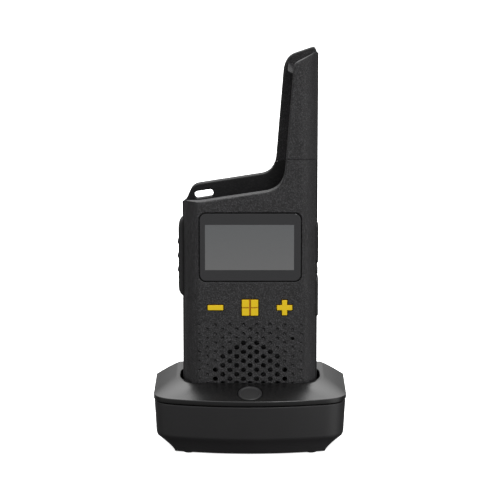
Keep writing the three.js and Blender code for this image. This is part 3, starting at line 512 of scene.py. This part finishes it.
def moulded(
    name, colour, roughness, grain_mm, depth_mm,
    specular=0.5, spread=0.12, mottling=0.15, painted_glint=0, metallic=0.0,
):  # fmt: skip
    """A grained surface, uneven in colour and gloss, with soft edges. The glint lightens the grain's tops as a
    painted highlight.
    """
    made = material(name, colour, roughness, metallic, specular)
    n = Nodes(made.node_tree)
    grain = n.noise(grain_mm, detail=2.5, roughness=0.6)
    patches = n.noise(9.0, detail=2.0)
    dark, light = [tuple(c * (1 + s * mottling) for c in colour) for s in (-1, 1)]
    tone = n.math("MULTIPLY_ADD", grain, 0.5, n.math("MULTIPLY", patches, 0.5))
    shade = n.mix(n.remap(tone, 0.3, 0.7), dark, light)
    # Painted highlight: the grain's tops are lightened to stand in for light glinting off the textured surface.
    if painted_glint:
        shade = n.mix(n.remap(grain, 0.5, 0.64), shade, tuple(c * (1 + painted_glint) for c in colour))
    n.set("Base Color", shade)
    n.set("Roughness", n.remap(tone, 0.3, 0.7, roughness - spread / 2, roughness + spread / 2))
    n.set("Normal", n.bump(grain, depth_mm, under=n.edge(SOFT_EDGE)))
    return made


def shade_by_depth(look, face_y, edge_y, top, side):
    """One colour on the front faces, and a darker one below them as painted shade."""
    n = Nodes(look.node_tree)
    depth = n.remap(n.split(n.coords)[1], face_y * MM, edge_y * MM)
    n.set("Base Color", n.mix(depth, top, side))


# The second key colour is a darker orange, painted on the keys' sides and grooves as shade.
KEY_YELLOW, KEY_SIDE_SHADE = (0.66, 0.455, 0.008), (0.5, 0.2, 0.003)
LENS_BORDER, PANE_LOW, PANE_SHADED_TOP = (0.019, 0.019, 0.0205), (0.118, 0.118, 0.119), (0.098, 0.1015, 0.1045)

# Front housing: a strong painted highlight on its grain tops stands in for sparkling glints.
housing_look = moulded(
    "textured_housing", (0.0068, 0.0066, 0.0071), 0.4, 0.36, 0.28, specular=0.4, mottling=0.5, painted_glint=5.5
)
# Rear plastic: the same plastic as the front, painted darker as shade for the occluded valley between the lips.
rear_look_with_painted_shade = moulded(
    "rear_plastic_with_painted_shade", (0.0034, 0.0033, 0.0036), 0.5, 0.45, 0.1, specular=0.24, painted_glint=1.5
)
dock_look = moulded(
    "dock_satin_plastic", (0.0022, 0.0021, 0.0022), 0.25, 0.5, 0.003, spread=0.04, mottling=0.06
)
base_look = moulded(
    "dock_base_plastic", (0.0105, 0.0102, 0.0108), 0.42, 0.5, 0.003, spread=0.04, mottling=0.06
)
badge_look = moulded("badge_satin", (0.019, 0.019, 0.0195), 0.3, 0.5, 0.003, spread=0.04)
key_look = moulded("key_yellow", KEY_YELLOW, 0.45, 0.6, 0.004, specular=0.3, spread=0.06, mottling=0.04)
# Painted shade: the keys' sides and the menu key's grooves are coloured darker orange.
shade_by_depth(key_look, FRONT_Y - 0.25, FRONT_Y - 0.05, KEY_YELLOW, KEY_SIDE_SHADE)
rubber_look = moulded("soft_rubber", (0.008, 0.008, 0.0085), 0.6, 0.45, 0.01)
black_look = moulded("black_moulding", (0.006, 0.006, 0.006), 0.5, 0.5, 0.006)
white_look = moulded("white_moulding", (0.72, 0.72, 0.69), 0.4, 0.6, 0.004)
steel_look = moulded("plated_steel", (0.55, 0.56, 0.57), 0.28, 0.4, 0.003, metallic=1.0)
gold_look = moulded("gold_plate", (0.75, 0.5, 0.2), 0.22, 0.4, 0.002, metallic=1.0)
board_look = moulded("circuit_board", (0.01, 0.1, 0.035), 0.35, 1.2, 0.006, mottling=0.4)
cell_look = moulded("cell_jacket", (0.02, 0.09, 0.04), 0.3, 0.8, 0.003)
cone_look = moulded("speaker_cone_paper", (0.07, 0.07, 0.072), 0.85, 0.3, 0.03)
lens_look = material("window_gloss", (0.03, 0.03, 0.032), 0.1)

SLOTS = {
    "housing": housing_look,
    "rear_housing": rear_look_with_painted_shade,
    "antenna_rubber": housing_look,
    "dock_plastic": dock_look,
    "dock_base_plastic": base_look,
    "window": lens_look,
    "display": lens_look,
    "key": key_look,
    "rubber": rubber_look,
    "steel": steel_look,
    "contact_metal": gold_look,
    "circuit_board": board_look,
    "black_plastic": black_look,
    "cell_jacket": cell_look,
    "white_plastic": white_look,
    "cone_paper": cone_look,
}


def finish_piece(piece, name, body, slot, look, *nodes):
    """Names a piece, smooths its curved faces, and hands it to the frame."""
    piece.name = piece.data.name = name
    tidy = bmesh.new()
    tidy.from_mesh(piece.data)
    bmesh.ops.remove_doubles(tidy, verts=tidy.verts, dist=0.002 * MM)
    bmesh.ops.dissolve_degenerate(tidy, edges=tidy.edges, dist=0.001 * MM)
    tidy.to_mesh(piece.data)
    tidy.free()
    piece.data.shade_smooth()
    piece.data.set_sharp_from_angle(angle=radians(SMOOTH_ANGLE))
    weighted = piece.modifiers.new("normals", "WEIGHTED_NORMAL")
    weighted.keep_sharp, weighted.weight = True, 100
    piece.data.materials.clear()
    piece.data.materials.append(look)
    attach(piece, body)
    if nodes:
        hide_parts(*nodes)
    return piece


# ------------------------------------------------------------------ radio housings


def grille_spot(row, column):
    """Columns spread slightly towards the sides."""
    return 2.72 * column + 0.0057 * column**3, 52.1 - 1.905 * row


def grille_tools():
    """Open holes low in the middle of the staggered field, blind dimples everywhere else."""
    tools = []
    for row in range(14):
        for column in range(-7, 8):
            if (row + column) % 2 == 0:
                continue
            spot = grille_spot(row, column)
            is_open = row > 3 and abs(column) <= min(row - 3, 4 if row < 10 else 5)
            if is_open or (row, column) == MIC:
                radius = 0.74 if (row, column) == MIC else 1.04
                tools.append(pocket("y", circle(*spot, radius, 20), FRONT_Y, -7.0, 0.1))
            else:
                radius = 0.9 - 0.045 * abs(column)
                depth = 0.95 * radius
                turns = [radians(a) for a in (4, 25, 45, 65, 80)]
                profile = [(radius * sin(a), FRONT_Y + depth * cos(a)) for a in turns]
                profile += [(radius + 0.03, FRONT_Y), (radius + 0.1, FRONT_Y - 0.5)]
                tools.append(turned("y", profile, spot, 18))
    return join(tools)


def minus_points(extra=0.0):
    return rounded(-KEY_X, KEY_Z, 6.4 + 2 * extra, 2.1 + 2 * extra, 0.3 + extra)


def menu_points(extra=0.0):
    return rounded(0, KEY_Z, 6.7 + 2 * extra, 6.7 + 2 * extra, 0.3 + extra)


def plus_points(extra=0.0):
    arm, half = 3.15, 1.05
    corners = polygon(
        (-half, -arm), (half, -arm), (half, -half), (arm, -half), (arm, half), (half, half),
        (half, arm), (-half, arm), (-half, half), (-arm, half), (-arm, -half), (-half, -half),
    )  # fmt: skip
    return grow([p + Vector((KEY_X, KEY_Z)) for p in corners], extra)


def valley_end(x0, x1, foot_z, front_z, rear_z, back_y=VALLEY_END_Y):
    """A wall closing one end of the valley; its top falls from the front lip to the rear one."""
    front_y = LEDGE_BACK_Y - 0.5
    last_z = front_z + (rear_z - front_z) * (back_y - LEDGE_BACK_Y) / (VALLEY_END_Y - LEDGE_BACK_Y)
    side = Outline(front_y, foot_z).line(back_y, foot_z).line(back_y, last_z)
    return prism("x", side.line(LEDGE_BACK_Y, front_z).line(front_y, front_z).points, x0, x1)


def shoulder_end(back_y=VALLEY_END_Y):
    """The valley's end at the left shoulder."""
    return valley_end(-30, -26.2, 97, 103.1, 100.8, back_y)


def front_housing():
    """The front shell, with the low lip, the window, the key holes and the grille."""
    shell = prism("y", front_outline(), FRONT_Y, LEDGE_BACK_Y, 0.6, 0.6)
    add(shell, prism("y", valley_outline(), LEDGE_BACK_Y - 0.6, PARTING_Y), shoulder_end(PARTING_Y))
    common(shell, prism("z", body_section(), 5, 170))
    common(shell, prism("x", side_outline(), -40, 40))
    common(shell, beyond_seam(-1))
    hollow = prism("y", cavity_outline(), FRONT_Y + 2.4, PARTING_Y + 1)
    common(hollow, prism("z", body_section(-WALL, 12), 5, 170))
    cut(shell, hollow)
    x, z, w, h = WINDOW
    cut(
        shell,
        pocket("y", rounded(x, z, w, h, 3, 8), FRONT_Y, FRONT_Y + 1.5, 0.3),
        prism("y", rounded(0, z, 37.4, 20.4, 1), -10, 0),
        pocket("y", minus_points(GAP), FRONT_Y, 0, 0.2),
        pocket("y", menu_points(GAP), FRONT_Y, 0, 0.2),
        pocket("y", plus_points(GAP), FRONT_Y, 0, 0.2),
        turned("z", [(2.6, 100), (2.6, 125)], ANTENNA_CORE),
        seam_tongue(0.15),
    )
    cut(shell, grille_tools())
    return finish_piece(shell, "front_shell", "radio", "housing", housing_look, "front_housing")


def lanyard_slot():
    """A slanting slot right through the rear lip, its mouths rounded over."""
    shape = rounded(0, 0, 7.8, 3.1, 1.3, 8)
    stages = [(0.5, 0), (0.5, FIN_FRONT_Y), (0.15, FIN_FRONT_Y + 0.15), (0, FIN_FRONT_Y + 0.5)]
    stages += [(0, FIN_BACK_Y - 0.5), (0.15, FIN_BACK_Y - 0.15), (0.5, FIN_BACK_Y), (0.5, 20)]
    slot = loft([[(p.x, y, p.y) for p in grow(shape, offset)] for offset, y in stages])
    tilt = Matrix.Rotation(radians(-9), 4, "Y")
    slot.data.transform(Matrix.Translation((-19.05 * MM, 0, 103.6 * MM)) @ tilt)
    return slot


def rear_housing():
    """The rear shell, with the tall lip, the battery bay and the seats for the side pieces."""
    shell = prism("y", valley_outline(), PARTING_Y + GAP, VALLEY_END_Y)
    add(shell, prism("y", fin_outline(), FIN_FRONT_Y, BACK_Y + 1, 0.5))
    add(shell, common(shoulder_end(), box(-60, 60, PARTING_Y + GAP, 60, 90, 110)))
    common(shell, prism("z", body_section(), 5, 170))
    common(shell, prism("x", side_outline(), -40, 40))
    common(shell, beyond_seam(-1))
    rooms = [  # depth and height of each
        ((-10, 2.0), (0, 200)),
        ((0, 14.6), (0, 29.8)),
        ((0, 14.6), (66.4, 93)),
        ((0, 5.2), (92, 200)),
    ]
    for (y0, y1), (z0, z1) in rooms:
        room = prism("y", cavity_outline(), y0, y1)
        common(room, prism("z", body_section(-WALL, 12), 5, 170), box(-40, 40, -40, 40, z0, z1))
        cut(shell, room)
    cut(
        shell,
        lanyard_slot(),
        box(-24.6, 24.6, 14.9, 20, 29.8, 66.1),
        prism("y", rounded(0, 48.1, 46.8, 33, 0.8), 3.8, 15.2),
        prism("x", rounded(TALK_Y, TALK_Z, 9.6, 33.6, 3.2), -40, -24.2),
        prism("x", rounded(FLAP_Y, 73.3, 8.6, 40.2, 1.9), SEAT_X, 40),
        turned("x", [(2.2, 20), (2.2, 30)], (FLAP_Y, JACK_Z)),
        box(20, 30, -2.3, 0.6, 57.7, 66.1),
        turned("x", [(1.3, 20), (1.3, 30)], (FLAP_Y, 73.2), 16),
        turned("z", [(2.6, 100), (2.6, 125)], ANTENNA_CORE),
        seam_tongue(0.15),
    )
    peg_x, peg_z = CLIP_PEG
    screw_x, screw_z = CASE_SCREW
    cut(
        shell,
        join([prism("z", rounded(s * PIN[0], PIN[1], 5, 5, 0.6), 5, 20) for s in (-1, 1)]),
        join([turned("y", [(1.1, 10), (1.1, 20)], (s * peg_x, peg_z), 16) for s in (-1, 1)]),
    )
    add(shell, *[turned("y", [(3.6, -1), (3.6, 15.5)], (s * screw_x, screw_z)) for s in (-1, 1)])
    screw_hole = [(1.5, -5), (1.5, 3.4), (2.7, 3.4), (2.7, 16.7), (3.0, 17), (3.0, 19)]
    for s in (-1, 1):
        cut(
            shell,
            turned("y", screw_hole, (s * screw_x, screw_z)),
            turned("y", [(1.5, 0), (1.5, 2.7), (2.7, 2.7), (2.7, 5)], (s * 21.5, 50.5)),
        )
    return finish_piece(shell, "rear_shell", "radio", "rear_housing", rear_look_with_painted_shade, "rear_housing")


def tip_facet():
    """A small sloping flat between the lips where the valley turns over at the antenna's tip."""
    near = [(15.4, 156.1), (17.7, 155.1), (17.7, 155.7), (15.4, 156.7)]
    far = [(15.8, 156.4), (21, 154.5), (21, 156.4), (15.8, 159.4)]
    return loft([[(x, LEDGE_BACK_Y - 0.5, z) for x, z in near], [(x, VALLEY_END_Y, z) for x, z in far]])


def antenna():
    """The sleeve that carries both lips on above the seam, thinning towards its tip."""
    sleeve = prism("y", front_outline(), FRONT_Y, LEDGE_BACK_Y, 0.6, 0.6)
    add(sleeve, prism("y", valley_outline(), LEDGE_BACK_Y - 0.6, FIN_FRONT_Y + 0.6))
    add(sleeve, prism("y", fin_outline(), FIN_FRONT_Y, FIN_BACK_Y, 0.5, 0.5))
    add(sleeve, valley_end(25.9, 30, 150, 164.3, 162.7), tip_facet())
    common(sleeve, prism("z", body_section(), 5, 170))
    common(sleeve, beyond_seam(1))
    for v in sleeve.data.vertices:
        rise = (v.co.z / MM - SEAM_Z) / (TIP_Z - SEAM_Z)
        v.co.y = FRONT_Y * MM + (v.co.y - FRONT_Y * MM) * (1 - TAPER * max(rise, 0))
    add(sleeve, seam_tongue())
    cut(sleeve, turned("z", [(2.6, 104), (2.6, 152)], ANTENNA_CORE))
    return finish_piece(sleeve, "antenna_cover", "radio", "antenna_rubber", housing_look, "antenna_sleeve")


# ------------------------------------------------------------------ display and keys


def display():
    """The window: dark glass all round, and a paler pane over the display, darkened towards its top as painted
    shade.
    """
    x, z, w, h = WINDOW
    lens = prism("y", rounded(x, z, w - 0.9, h - 0.9, 2.6, 10), FRONT_Y + 0.3, FRONT_Y + 1.2, 0.25)
    pane_x, pane_z, half_width, half_height = PANE
    n = Nodes(lens_look.node_tree)
    split = n.split(n.coords)
    across = n.math("ABSOLUTE", n.math("SUBTRACT", split[0], pane_x * MM))
    up = n.math("ABSOLUTE", n.math("SUBTRACT", split[2], pane_z * MM))
    blur = 0.05
    within_x = n.remap(across, (half_width - blur) * MM, (half_width + blur) * MM, 1, 0)
    within_z = n.remap(up, (half_height - blur) * MM, (half_height + blur) * MM, 1, 0)
    # Painted shade: the pane grows darker towards its top, under the window's upper edge.
    glass = n.mix(n.remap(split[2], 0.075, 0.094), PANE_LOW, PANE_SHADED_TOP)
    n.set("Base Color", n.mix(n.math("MULTIPLY", within_x, within_z), LENS_BORDER, glass))
    finish_piece(lens, "display_lens", "radio", "window", lens_look, "display_window")


def key(points, at_x):
    """A key standing just proud of the front face, on a flange that keeps it in."""
    made = prism("y", points, KEY_TOP_Y, FLANGE_Y + 0.2, 0.15)
    return add(made, prism("y", rounded(at_x, KEY_Z, 8.4, 8.4, 1), FLANGE_Y, FLANGE_Y + 0.6))


def keys():
    """Minus, menu and plus. Two crossed grooves part the menu key into four."""
    finish_piece(key(minus_points(), -KEY_X), "minus_key", "key_minus", "key", key_look, "key_minus")
    menu = key(menu_points(), 0)
    cut(menu, prism("y", rounded(0, KEY_Z, 0.75, 10, 0.2), -14, FRONT_Y + 0.5))
    cut(menu, prism("y", rounded(0, KEY_Z, 10, 0.45, 0.15), -14, FRONT_Y + 0.1))
    finish_piece(menu, "menu_key", "key_menu", "key", key_look, "key_menu")
    finish_piece(key(plus_points(), KEY_X), "plus_key", "key_plus", "key", key_look, "key_plus")


# ------------------------------------------------------------------ side controls


def talk_bar():
    """A bar on the left side with three grip ribs, and a flange that keeps it in."""
    y, z, side = TALK_Y, TALK_Z, -HALF_WIDTH
    crown = Outline(side - 1.7, z - 12.5).line(side - 1.7, z + 12.5)
    crown.curve(side - 1.6, z + 15.6, side + 0.6, z + 16.5, 10)
    crown.line(side + 2, z + 16.5).line(side + 2, z - 16.5)
    crown.line(side + 0.6, z - 16.5).curve(side - 1.6, z - 15.6, side - 1.7, z - 12.5, 10)
    bar = prism("y", clean(crown.points)[::-1], y - 4.5, y + 4.5, 1.0, 1.0)
    for dz in (-5.6, 0.3, 6.2):
        add(bar, prism("y", circle(side - 1.35, z + dz, 0.8, 16), y - 2.9, y + 2.9, 0.4, 0.4))
    add(bar, box(side + 1, side + 3.4, y - 4, y + 4, z - 10.4, z + 10.4))
    add(bar, box(side + 2.55, side + 3.15, y - 5.2, y + 5.2, z - 11, z + 11))
    finish_piece(bar, "talk_bar_rubber", "talk_bar", "rubber", rubber_look, "ptt_button")


def port_flaps():
    """Two socket covers, each joined by a web to the anchor between them, with a plug or lip inside."""
    for name, z, sign in (("accessory_port_flap", JACK_Z, 1), ("usb_port_flap", USB_Z, -1)):
        cover = prism("x", rounded(FLAP_Y, z, 8, 16.6, 1.6, 8), COVER_X, HALF_WIDTH + 0.35, 0, 0.3)
        end = z - sign * 9.4
        add(cover, box(COVER_X + 0.25, COVER_X + 0.75, -0.8, 3.2, min(z, end), max(z, end)))
        if sign > 0:
            add(cover, turned("x", [(1.5, 25.6), (1.7, 25.9), (1.7, COVER_X + 0.3)], (FLAP_Y, z)))
        else:
            add(cover, box(25.8, COVER_X + 0.3, -1.6, 0.1, 59, 65))
        notch_z = z + sign * 8.1
        cut(cover, turned("y", [(0.7, -10), (0.7, 10)], (HALF_WIDTH + 0.6, notch_z)))
        finish_piece(cover, f"{name}_cover", name, "rubber", rubber_look, name)


# ------------------------------------------------------------------ back of the radio


def battery_door():
    """The door with its hinge barrel and grip grooves, and the ribbed latch at its top."""
    skin = prism("z", body_section(), DOOR_HINGE[1], 65.8)
    common(skin, box(-24.3, 24.3, 15.2, 20, 25, 70))
    add(skin, turned("x", [(0.9, -21.5), (0.9, 21.5)], DOOR_HINGE, 20))
    cut(skin, prism("y", rounded(0, 60.5, 12.6, 5.8, 0.8), 16, 20))
    groove = [(0.05, -9.4), (0.35, -9), (0.35, 9), (0.05, 9.4)]
    cut(skin, join([turned("x", groove, (BACK_Y, 36 + i * 1.8), 12) for i in range(4)]))
    finish_piece(skin, "battery_door_panel", "battery_door", "rear_housing", rear_look_with_painted_shade, "battery_door")
    latch = prism("y", rounded(0, LATCH_Z, 12, 3.7, 0.6), 16.3, BACK_Y + 0.2, 0, 0.2)
    ridge = [(0.05, -5.3), (0.3, -5), (0.3, 5), (0.05, 5.3)]
    for z in (LATCH_Z - 1.05, LATCH_Z, LATCH_Z + 1.05):
        add(latch, turned("x", ridge, (BACK_Y + 0.2, z), 12))
    body = "battery_door_latch"
    finish_piece(latch, "battery_latch_slider", body, "rubber", rubber_look, "battery_door_latch")


def belt_clip():
    """The clip with its thumb pad and hooked foot, and the bracket that holds its pin."""
    y, z = CLIP_Y, CLIP_Z
    pin_hole = [(1.2, -20), (1.2, 20)]
    arm = Outline(y - 0.9, z + 2.1).curve(y - 1.6, z + 2, y - 1.6, z + 0.9, 6).line(y - 1.6, z - 2.2)
    arm.curve(23.2, z - 4.2, 23.2, z - 7, 8).line(23.2, 76).curve(23.2, 73.4, 21.2, 72.2, 8)
    arm.line(18.8, 70.4).curve(18, 69.6, 18.3, 68.6, 6).curve(18.8, 67.5, 20.2, 67.6, 6)
    arm.curve(26, 68.4, 26, 76, 12).line(26, z - 5).curve(26, z - 1, 24.8, z + 1.8, 8)
    arm.curve(24.2, z + 3.6, 24, z + 7.2, 6).curve(23.8, z + 8, 23.1, z + 8, 4)
    arm.curve(22.6, z + 7.9, 22.5, z + 6.6, 4).line(22.2, z + 3.4)
    clip = prism("x", clean(arm.points), -8.3, 8.3, 0.5, 0.5)
    cut(clip, turned("x", pin_hole, (y, z)))
    cut(clip, box(-4.4, 4.4, 17, 23, z - 4, z + 3.4))
    finish_piece(clip, "belt_clip_blade", "belt_clip", "rear_housing", rear_look_with_painted_shade, "belt_clip")
    bracket = prism("y", rounded(0, 87.6, 22.6, 12.6, 1.5), BACK_Y + GAP, BACK_Y + 1.5, 0, 0.3)
    for s in (-1, 1):
        x0, x1 = sorted((s * 8.6, s * 11.2))
        ear = Outline(BACK_Y + 1, z - 2.3).line(y, z - 2.3).arc(y, z, 2.3, 2.3, -90, 90)
        ear.line(BACK_Y + 1, z + 2.3)
        add(bracket, prism("x", clean(ear.points), x0, x1, 0.25, 0.25))
        add(bracket, turned("y", [(0.8, 15.2), (0.8, BACK_Y + 1)], (s * CLIP_PEG[0], CLIP_PEG[1]), 16))
    cut(bracket, turned("x", pin_hole, (y, z)))
    finish_piece(bracket, "belt_clip_mount", "radio", "rear_housing", rear_look_with_painted_shade, "belt_clip_bracket")


# ------------------------------------------------------------------ dock


def level(outline, z):
    """A ring of points at one height."""
    return [(p.x, p.y, z) for p in outline]


def dock_cover():
    """The upper shell: a low wall, a rounded shoulder, and a roof rising to the rim around the pocket."""
    rings = [
        level(dock_outline(0.35), DOCK_SEAM_Z + GAP),
        level(dock_outline(0.12), DOCK_SEAM_Z + 0.4),
        level(dock_outline(0), DOCK_SEAM_Z + 0.65),
    ]
    width, drop = 0.6, 0.4
    edge_z = EDGE_Z + 0.1 - drop
    for i in range(7):
        turn = radians(12 * i)
        low = dock_outline(width * (1 - cos(turn)))
        low_z = edge_z + drop * sin(turn)
        rings.append(level(low, low_z))
    high = rim_outline(DOCK_BACK_Y - width * (1 - cos(turn)))
    steps, crown = 14, 0.25
    for i in range(1, steps + 1):
        t = i / steps
        z = low_z + (RIM_Z - low_z) * t + crown * sin(pi * t)
        rings.append(level([a.lerp(b, t) for a, b in zip(low, high)], z))
    cover = loft(rings)
    inside = loft(
        [
            level(dock_outline(2), DOCK_SEAM_Z - 5),
            level(dock_outline(2), EDGE_Z - 1.7),
            level(rim_outline(DOCK_BACK_Y - 2), RIM_Z - 2.3),
        ]
    )
    cut(cover, inside)
    well = prism("z", body_section(CLEARANCE + 1.8), FLOOR_Z - 2, RIM_Z - 1)
    common(well, box(-60, 60, -60, DOCK_BACK_Y - 1, 0, 60))
    add(cover, well)
    add(cover, *[turned("z", [(2.6, 4.9), (2.6, FLOOR_Z - 1)], spot) for spot in DOCK_SCREWS])
    cut(cover, pocket("z", body_section(CLEARANCE), RIM_Z, FLOOR_Z, 0.5))
    cut(cover, on_front_slope([(5.2, -0.9), (5.2, 3.0)]))
    cut(cover, join([turned("z", [(1.6, 0), (1.6, 20)], (s * PIN[0], PIN[1])) for s in (-1, 1)]))
    cut(cover, join([turned("z", [(1.4, 2), (1.4, FLOOR_Z - 0.8)], spot) for spot in DOCK_SCREWS]))
    finish_piece(cover, "dock_cover_shell", "dock", "dock_plastic", dock_look, "dock_cover")


def on_front_slope(profile):
    """A profile turned into a disc and laid on the middle of the dock's front slope."""
    share = 0.44  # of the way up the slope
    rise, run = RIM_Z - EDGE_Z, ROOF_TOP_Y - DOCK_FRONT_Y
    disc = turned("z", profile, (0, 0), 48)
    place = Vector((0, DOCK_FRONT_Y + run * share, EDGE_Z + rise * share)) * MM
    disc.data.transform(Matrix.Translation(place) @ Matrix.Rotation(atan2(rise, run), 4, "X"))
    return disc


def badge():
    """A plain disc with a raised ring."""
    profile = [(4.85, -0.5), (4.85, 0.3), (4.7, 0.45), (4.1, 0.45)]
    profile += [(3.95, 0.25), (3.6, 0.2), (1.5, 0.28), (0.02, 0.3)]
    finish_piece(on_front_slope(profile), "badge_button", "dock", "dock_plastic", badge_look, "badge_disc")


def dock_base():
    """The lower shell: a foot that slants in to a small sole, under nearly upright walls."""

    def ring(inset, z, back, front=None):
        return level(dock_outline(inset, back, front), z)

    rings = [
        ring(9.1, BASE_Z, 2.5, 3.5),
        ring(8.75, BASE_Z + 0.08, 2.25, 3.15),
        ring(8.45, BASE_Z + 0.3, 2.1, 2.9),
    ]
    for t in (0.25, 0.5, 0.75):
        height = BASE_Z + 0.3 + (CHAMFER_Z - 0.8 - BASE_Z) * t
        rings.append(ring(8.45 + (1.7 - 8.45) * t, height, 2.1 - 1.6 * t, 2.9 + (1.6 - 2.9) * t))
    rings += [
        ring(1.45, CHAMFER_Z - 0.3, 0.4),
        ring(1.15, CHAMFER_Z + 0.4, 0.3),
        ring(1.0, CHAMFER_Z + 1.4, 0.28),
        ring(0.3, DOCK_SEAM_Z - 0.6, 0.1),
        ring(0.38, DOCK_SEAM_Z - 0.2, 0.15),
        ring(0.6, DOCK_SEAM_Z, 0.35),
    ]
    base = loft(rings)
    inside = loft(
        [
            ring(10.2, BASE_Z + 2, 4.2, 5.2),
            ring(3.4, CHAMFER_Z + 0.8, 2.3),
            ring(2, DOCK_SEAM_Z + 5, 2),
        ]
    )
    cut(base, inside)
    add(base, *[turned("z", [(3.6, BASE_Z + 0.5), (3.6, 4.6)], spot) for spot in DOCK_SCREWS])
    sink = [(2.9, -1), (2.9, BASE_Z), (2.6, BASE_Z + 0.3), (2.6, 2.8), (1.5, 2.8), (1.5, 10)]
    cut(
        base,
        join([turned("z", sink, spot) for spot in DOCK_SCREWS]),
        join([turned("z", [(2.8, -1), (2.8, BASE_Z + 0.7)], spot) for spot in FEET]),
    )
    cut(base, prism("y", rounded(0, 6.6, 8.4, 3.4, 0.8), 21, 30))
    finish_piece(base, "dock_base_shell", "dock", "dock_base_plastic", base_look, "dock_base")


# ------------------------------------------------------------------ build

dock_cover()
badge()
dock_base()
front_housing()
rear_housing()
antenna()
display()
keys()
talk_bar()
port_flaps()
battery_door()
belt_clip()

slots = {row["node"]: row["material_slot"] for row in frame["record"]["subparts"]}
for node, shown in frame["nodes"].items():
    if shown.hide_render:
        continue
    shown.data.materials.clear()
    shown.data.materials.append(SLOTS[slots[node]])

# ------------------------------------------------------------------ camera, floor and light


def aim(thing, target):
    thing.rotation_euler = (Vector(target) - thing.location).to_track_quat("-Z", "Y").to_euler()


TARGET = (0, 0, 0.0814)
PITCH = radians(11)
DISTANCE = 1.0

camera = bpy.data.objects.new("camera", bpy.data.cameras.new("camera"))
camera.data.lens = 174.1
camera.data.sensor_width = 36
camera.location = (0, -DISTANCE * cos(PITCH), TARGET[2] + DISTANCE * sin(PITCH))
aim(camera, TARGET)
bpy.context.scene.collection.objects.link(camera)
bpy.context.scene.camera = camera

lamp = bpy.data.objects.new("key_lamp", bpy.data.lights.new("key_lamp", "AREA"))
lamp.data.shape = "SQUARE"
lamp.data.size, lamp.data.energy = 0.25, 5.5
lamp.location = (0.3, -0.8, 0.85)
aim(lamp, (0, 0, 0.08))
bpy.context.scene.collection.objects.link(lamp)

floor_mesh = bpy.data.meshes.new("floor")
REACH = 9.0
corners = [(x * REACH, y * REACH, 0) for x, y in ((-1, -1), (1, -1), (1, 1), (-1, 1))]
floor_mesh.from_pydata(corners, [], [(0, 1, 2, 3)])
floor = bpy.data.objects.new("floor", floor_mesh)
floor_look = material("pale_floor", (0.9, 0.9, 0.9), 0.8, specular=0.0)
floor_shader = floor_look.node_tree.nodes["Principled BSDF"]
floor_shader.inputs["Emission Color"].default_value = (1, 1, 1, 1)
floor_shader.inputs["Emission Strength"].default_value = 0.8
floor_mesh.materials.append(floor_look)
floor.visible_diffuse = floor.visible_glossy = False
bpy.context.scene.collection.objects.link(floor)


BEHIND_LEVEL = 0.12
GLOWS = (  # direction, tightness, strength
    ((0, 0.47, 0.88), 5.3, 4.4),
    ((0.9, -0.43, 0), 9, 1.3),
    ((-0.5, 0.86, -0.13), 40, 0.1),
)


def studio():
    """Surroundings: dim below and behind, brighter in front, brightest high behind, a glow on the right."""
    world = bpy.data.worlds.new("studio")
    bpy.context.scene.world = world
    world.use_nodes = True
    tree = world.node_tree
    background = tree.nodes["Background"]
    background.inputs["Color"].default_value = (1, 1, 1, 1)
    n = Nodes(tree, "Generated")
    split = n.split(n.coords)
    front = n.math("ADD", n.remap(split[2], -0.5, -0.1, 0.02, 0.7), n.remap(split[2], 0.2, 0.8, 0, 0.6))
    behind = n.remap(split[1], -0.2, 0.3)
    level = n.math("MULTIPLY", front, n.math("SUBTRACT", 1, behind))
    level = n.math("ADD", level, n.math("MULTIPLY", behind, BEHIND_LEVEL))
    for (x, y, z), tightness, strength in GLOWS:
        toward = n.math("MULTIPLY_ADD", split[1], y, n.math("MULTIPLY", split[2], z))
        toward = n.math("MULTIPLY_ADD", split[0], x, toward)
        glow = n.math("POWER", n.math("MAXIMUM", toward, 0), tightness)
        level = n.math("MULTIPLY_ADD", glow, strength, level)
    seen = tree.nodes.new("ShaderNodeLightPath").outputs["Is Camera Ray"]
    n.link(n.math("MAXIMUM", level, seen), background.inputs["Strength"])


studio()
bpy.context.scene.view_settings.view_transform = "Standard"
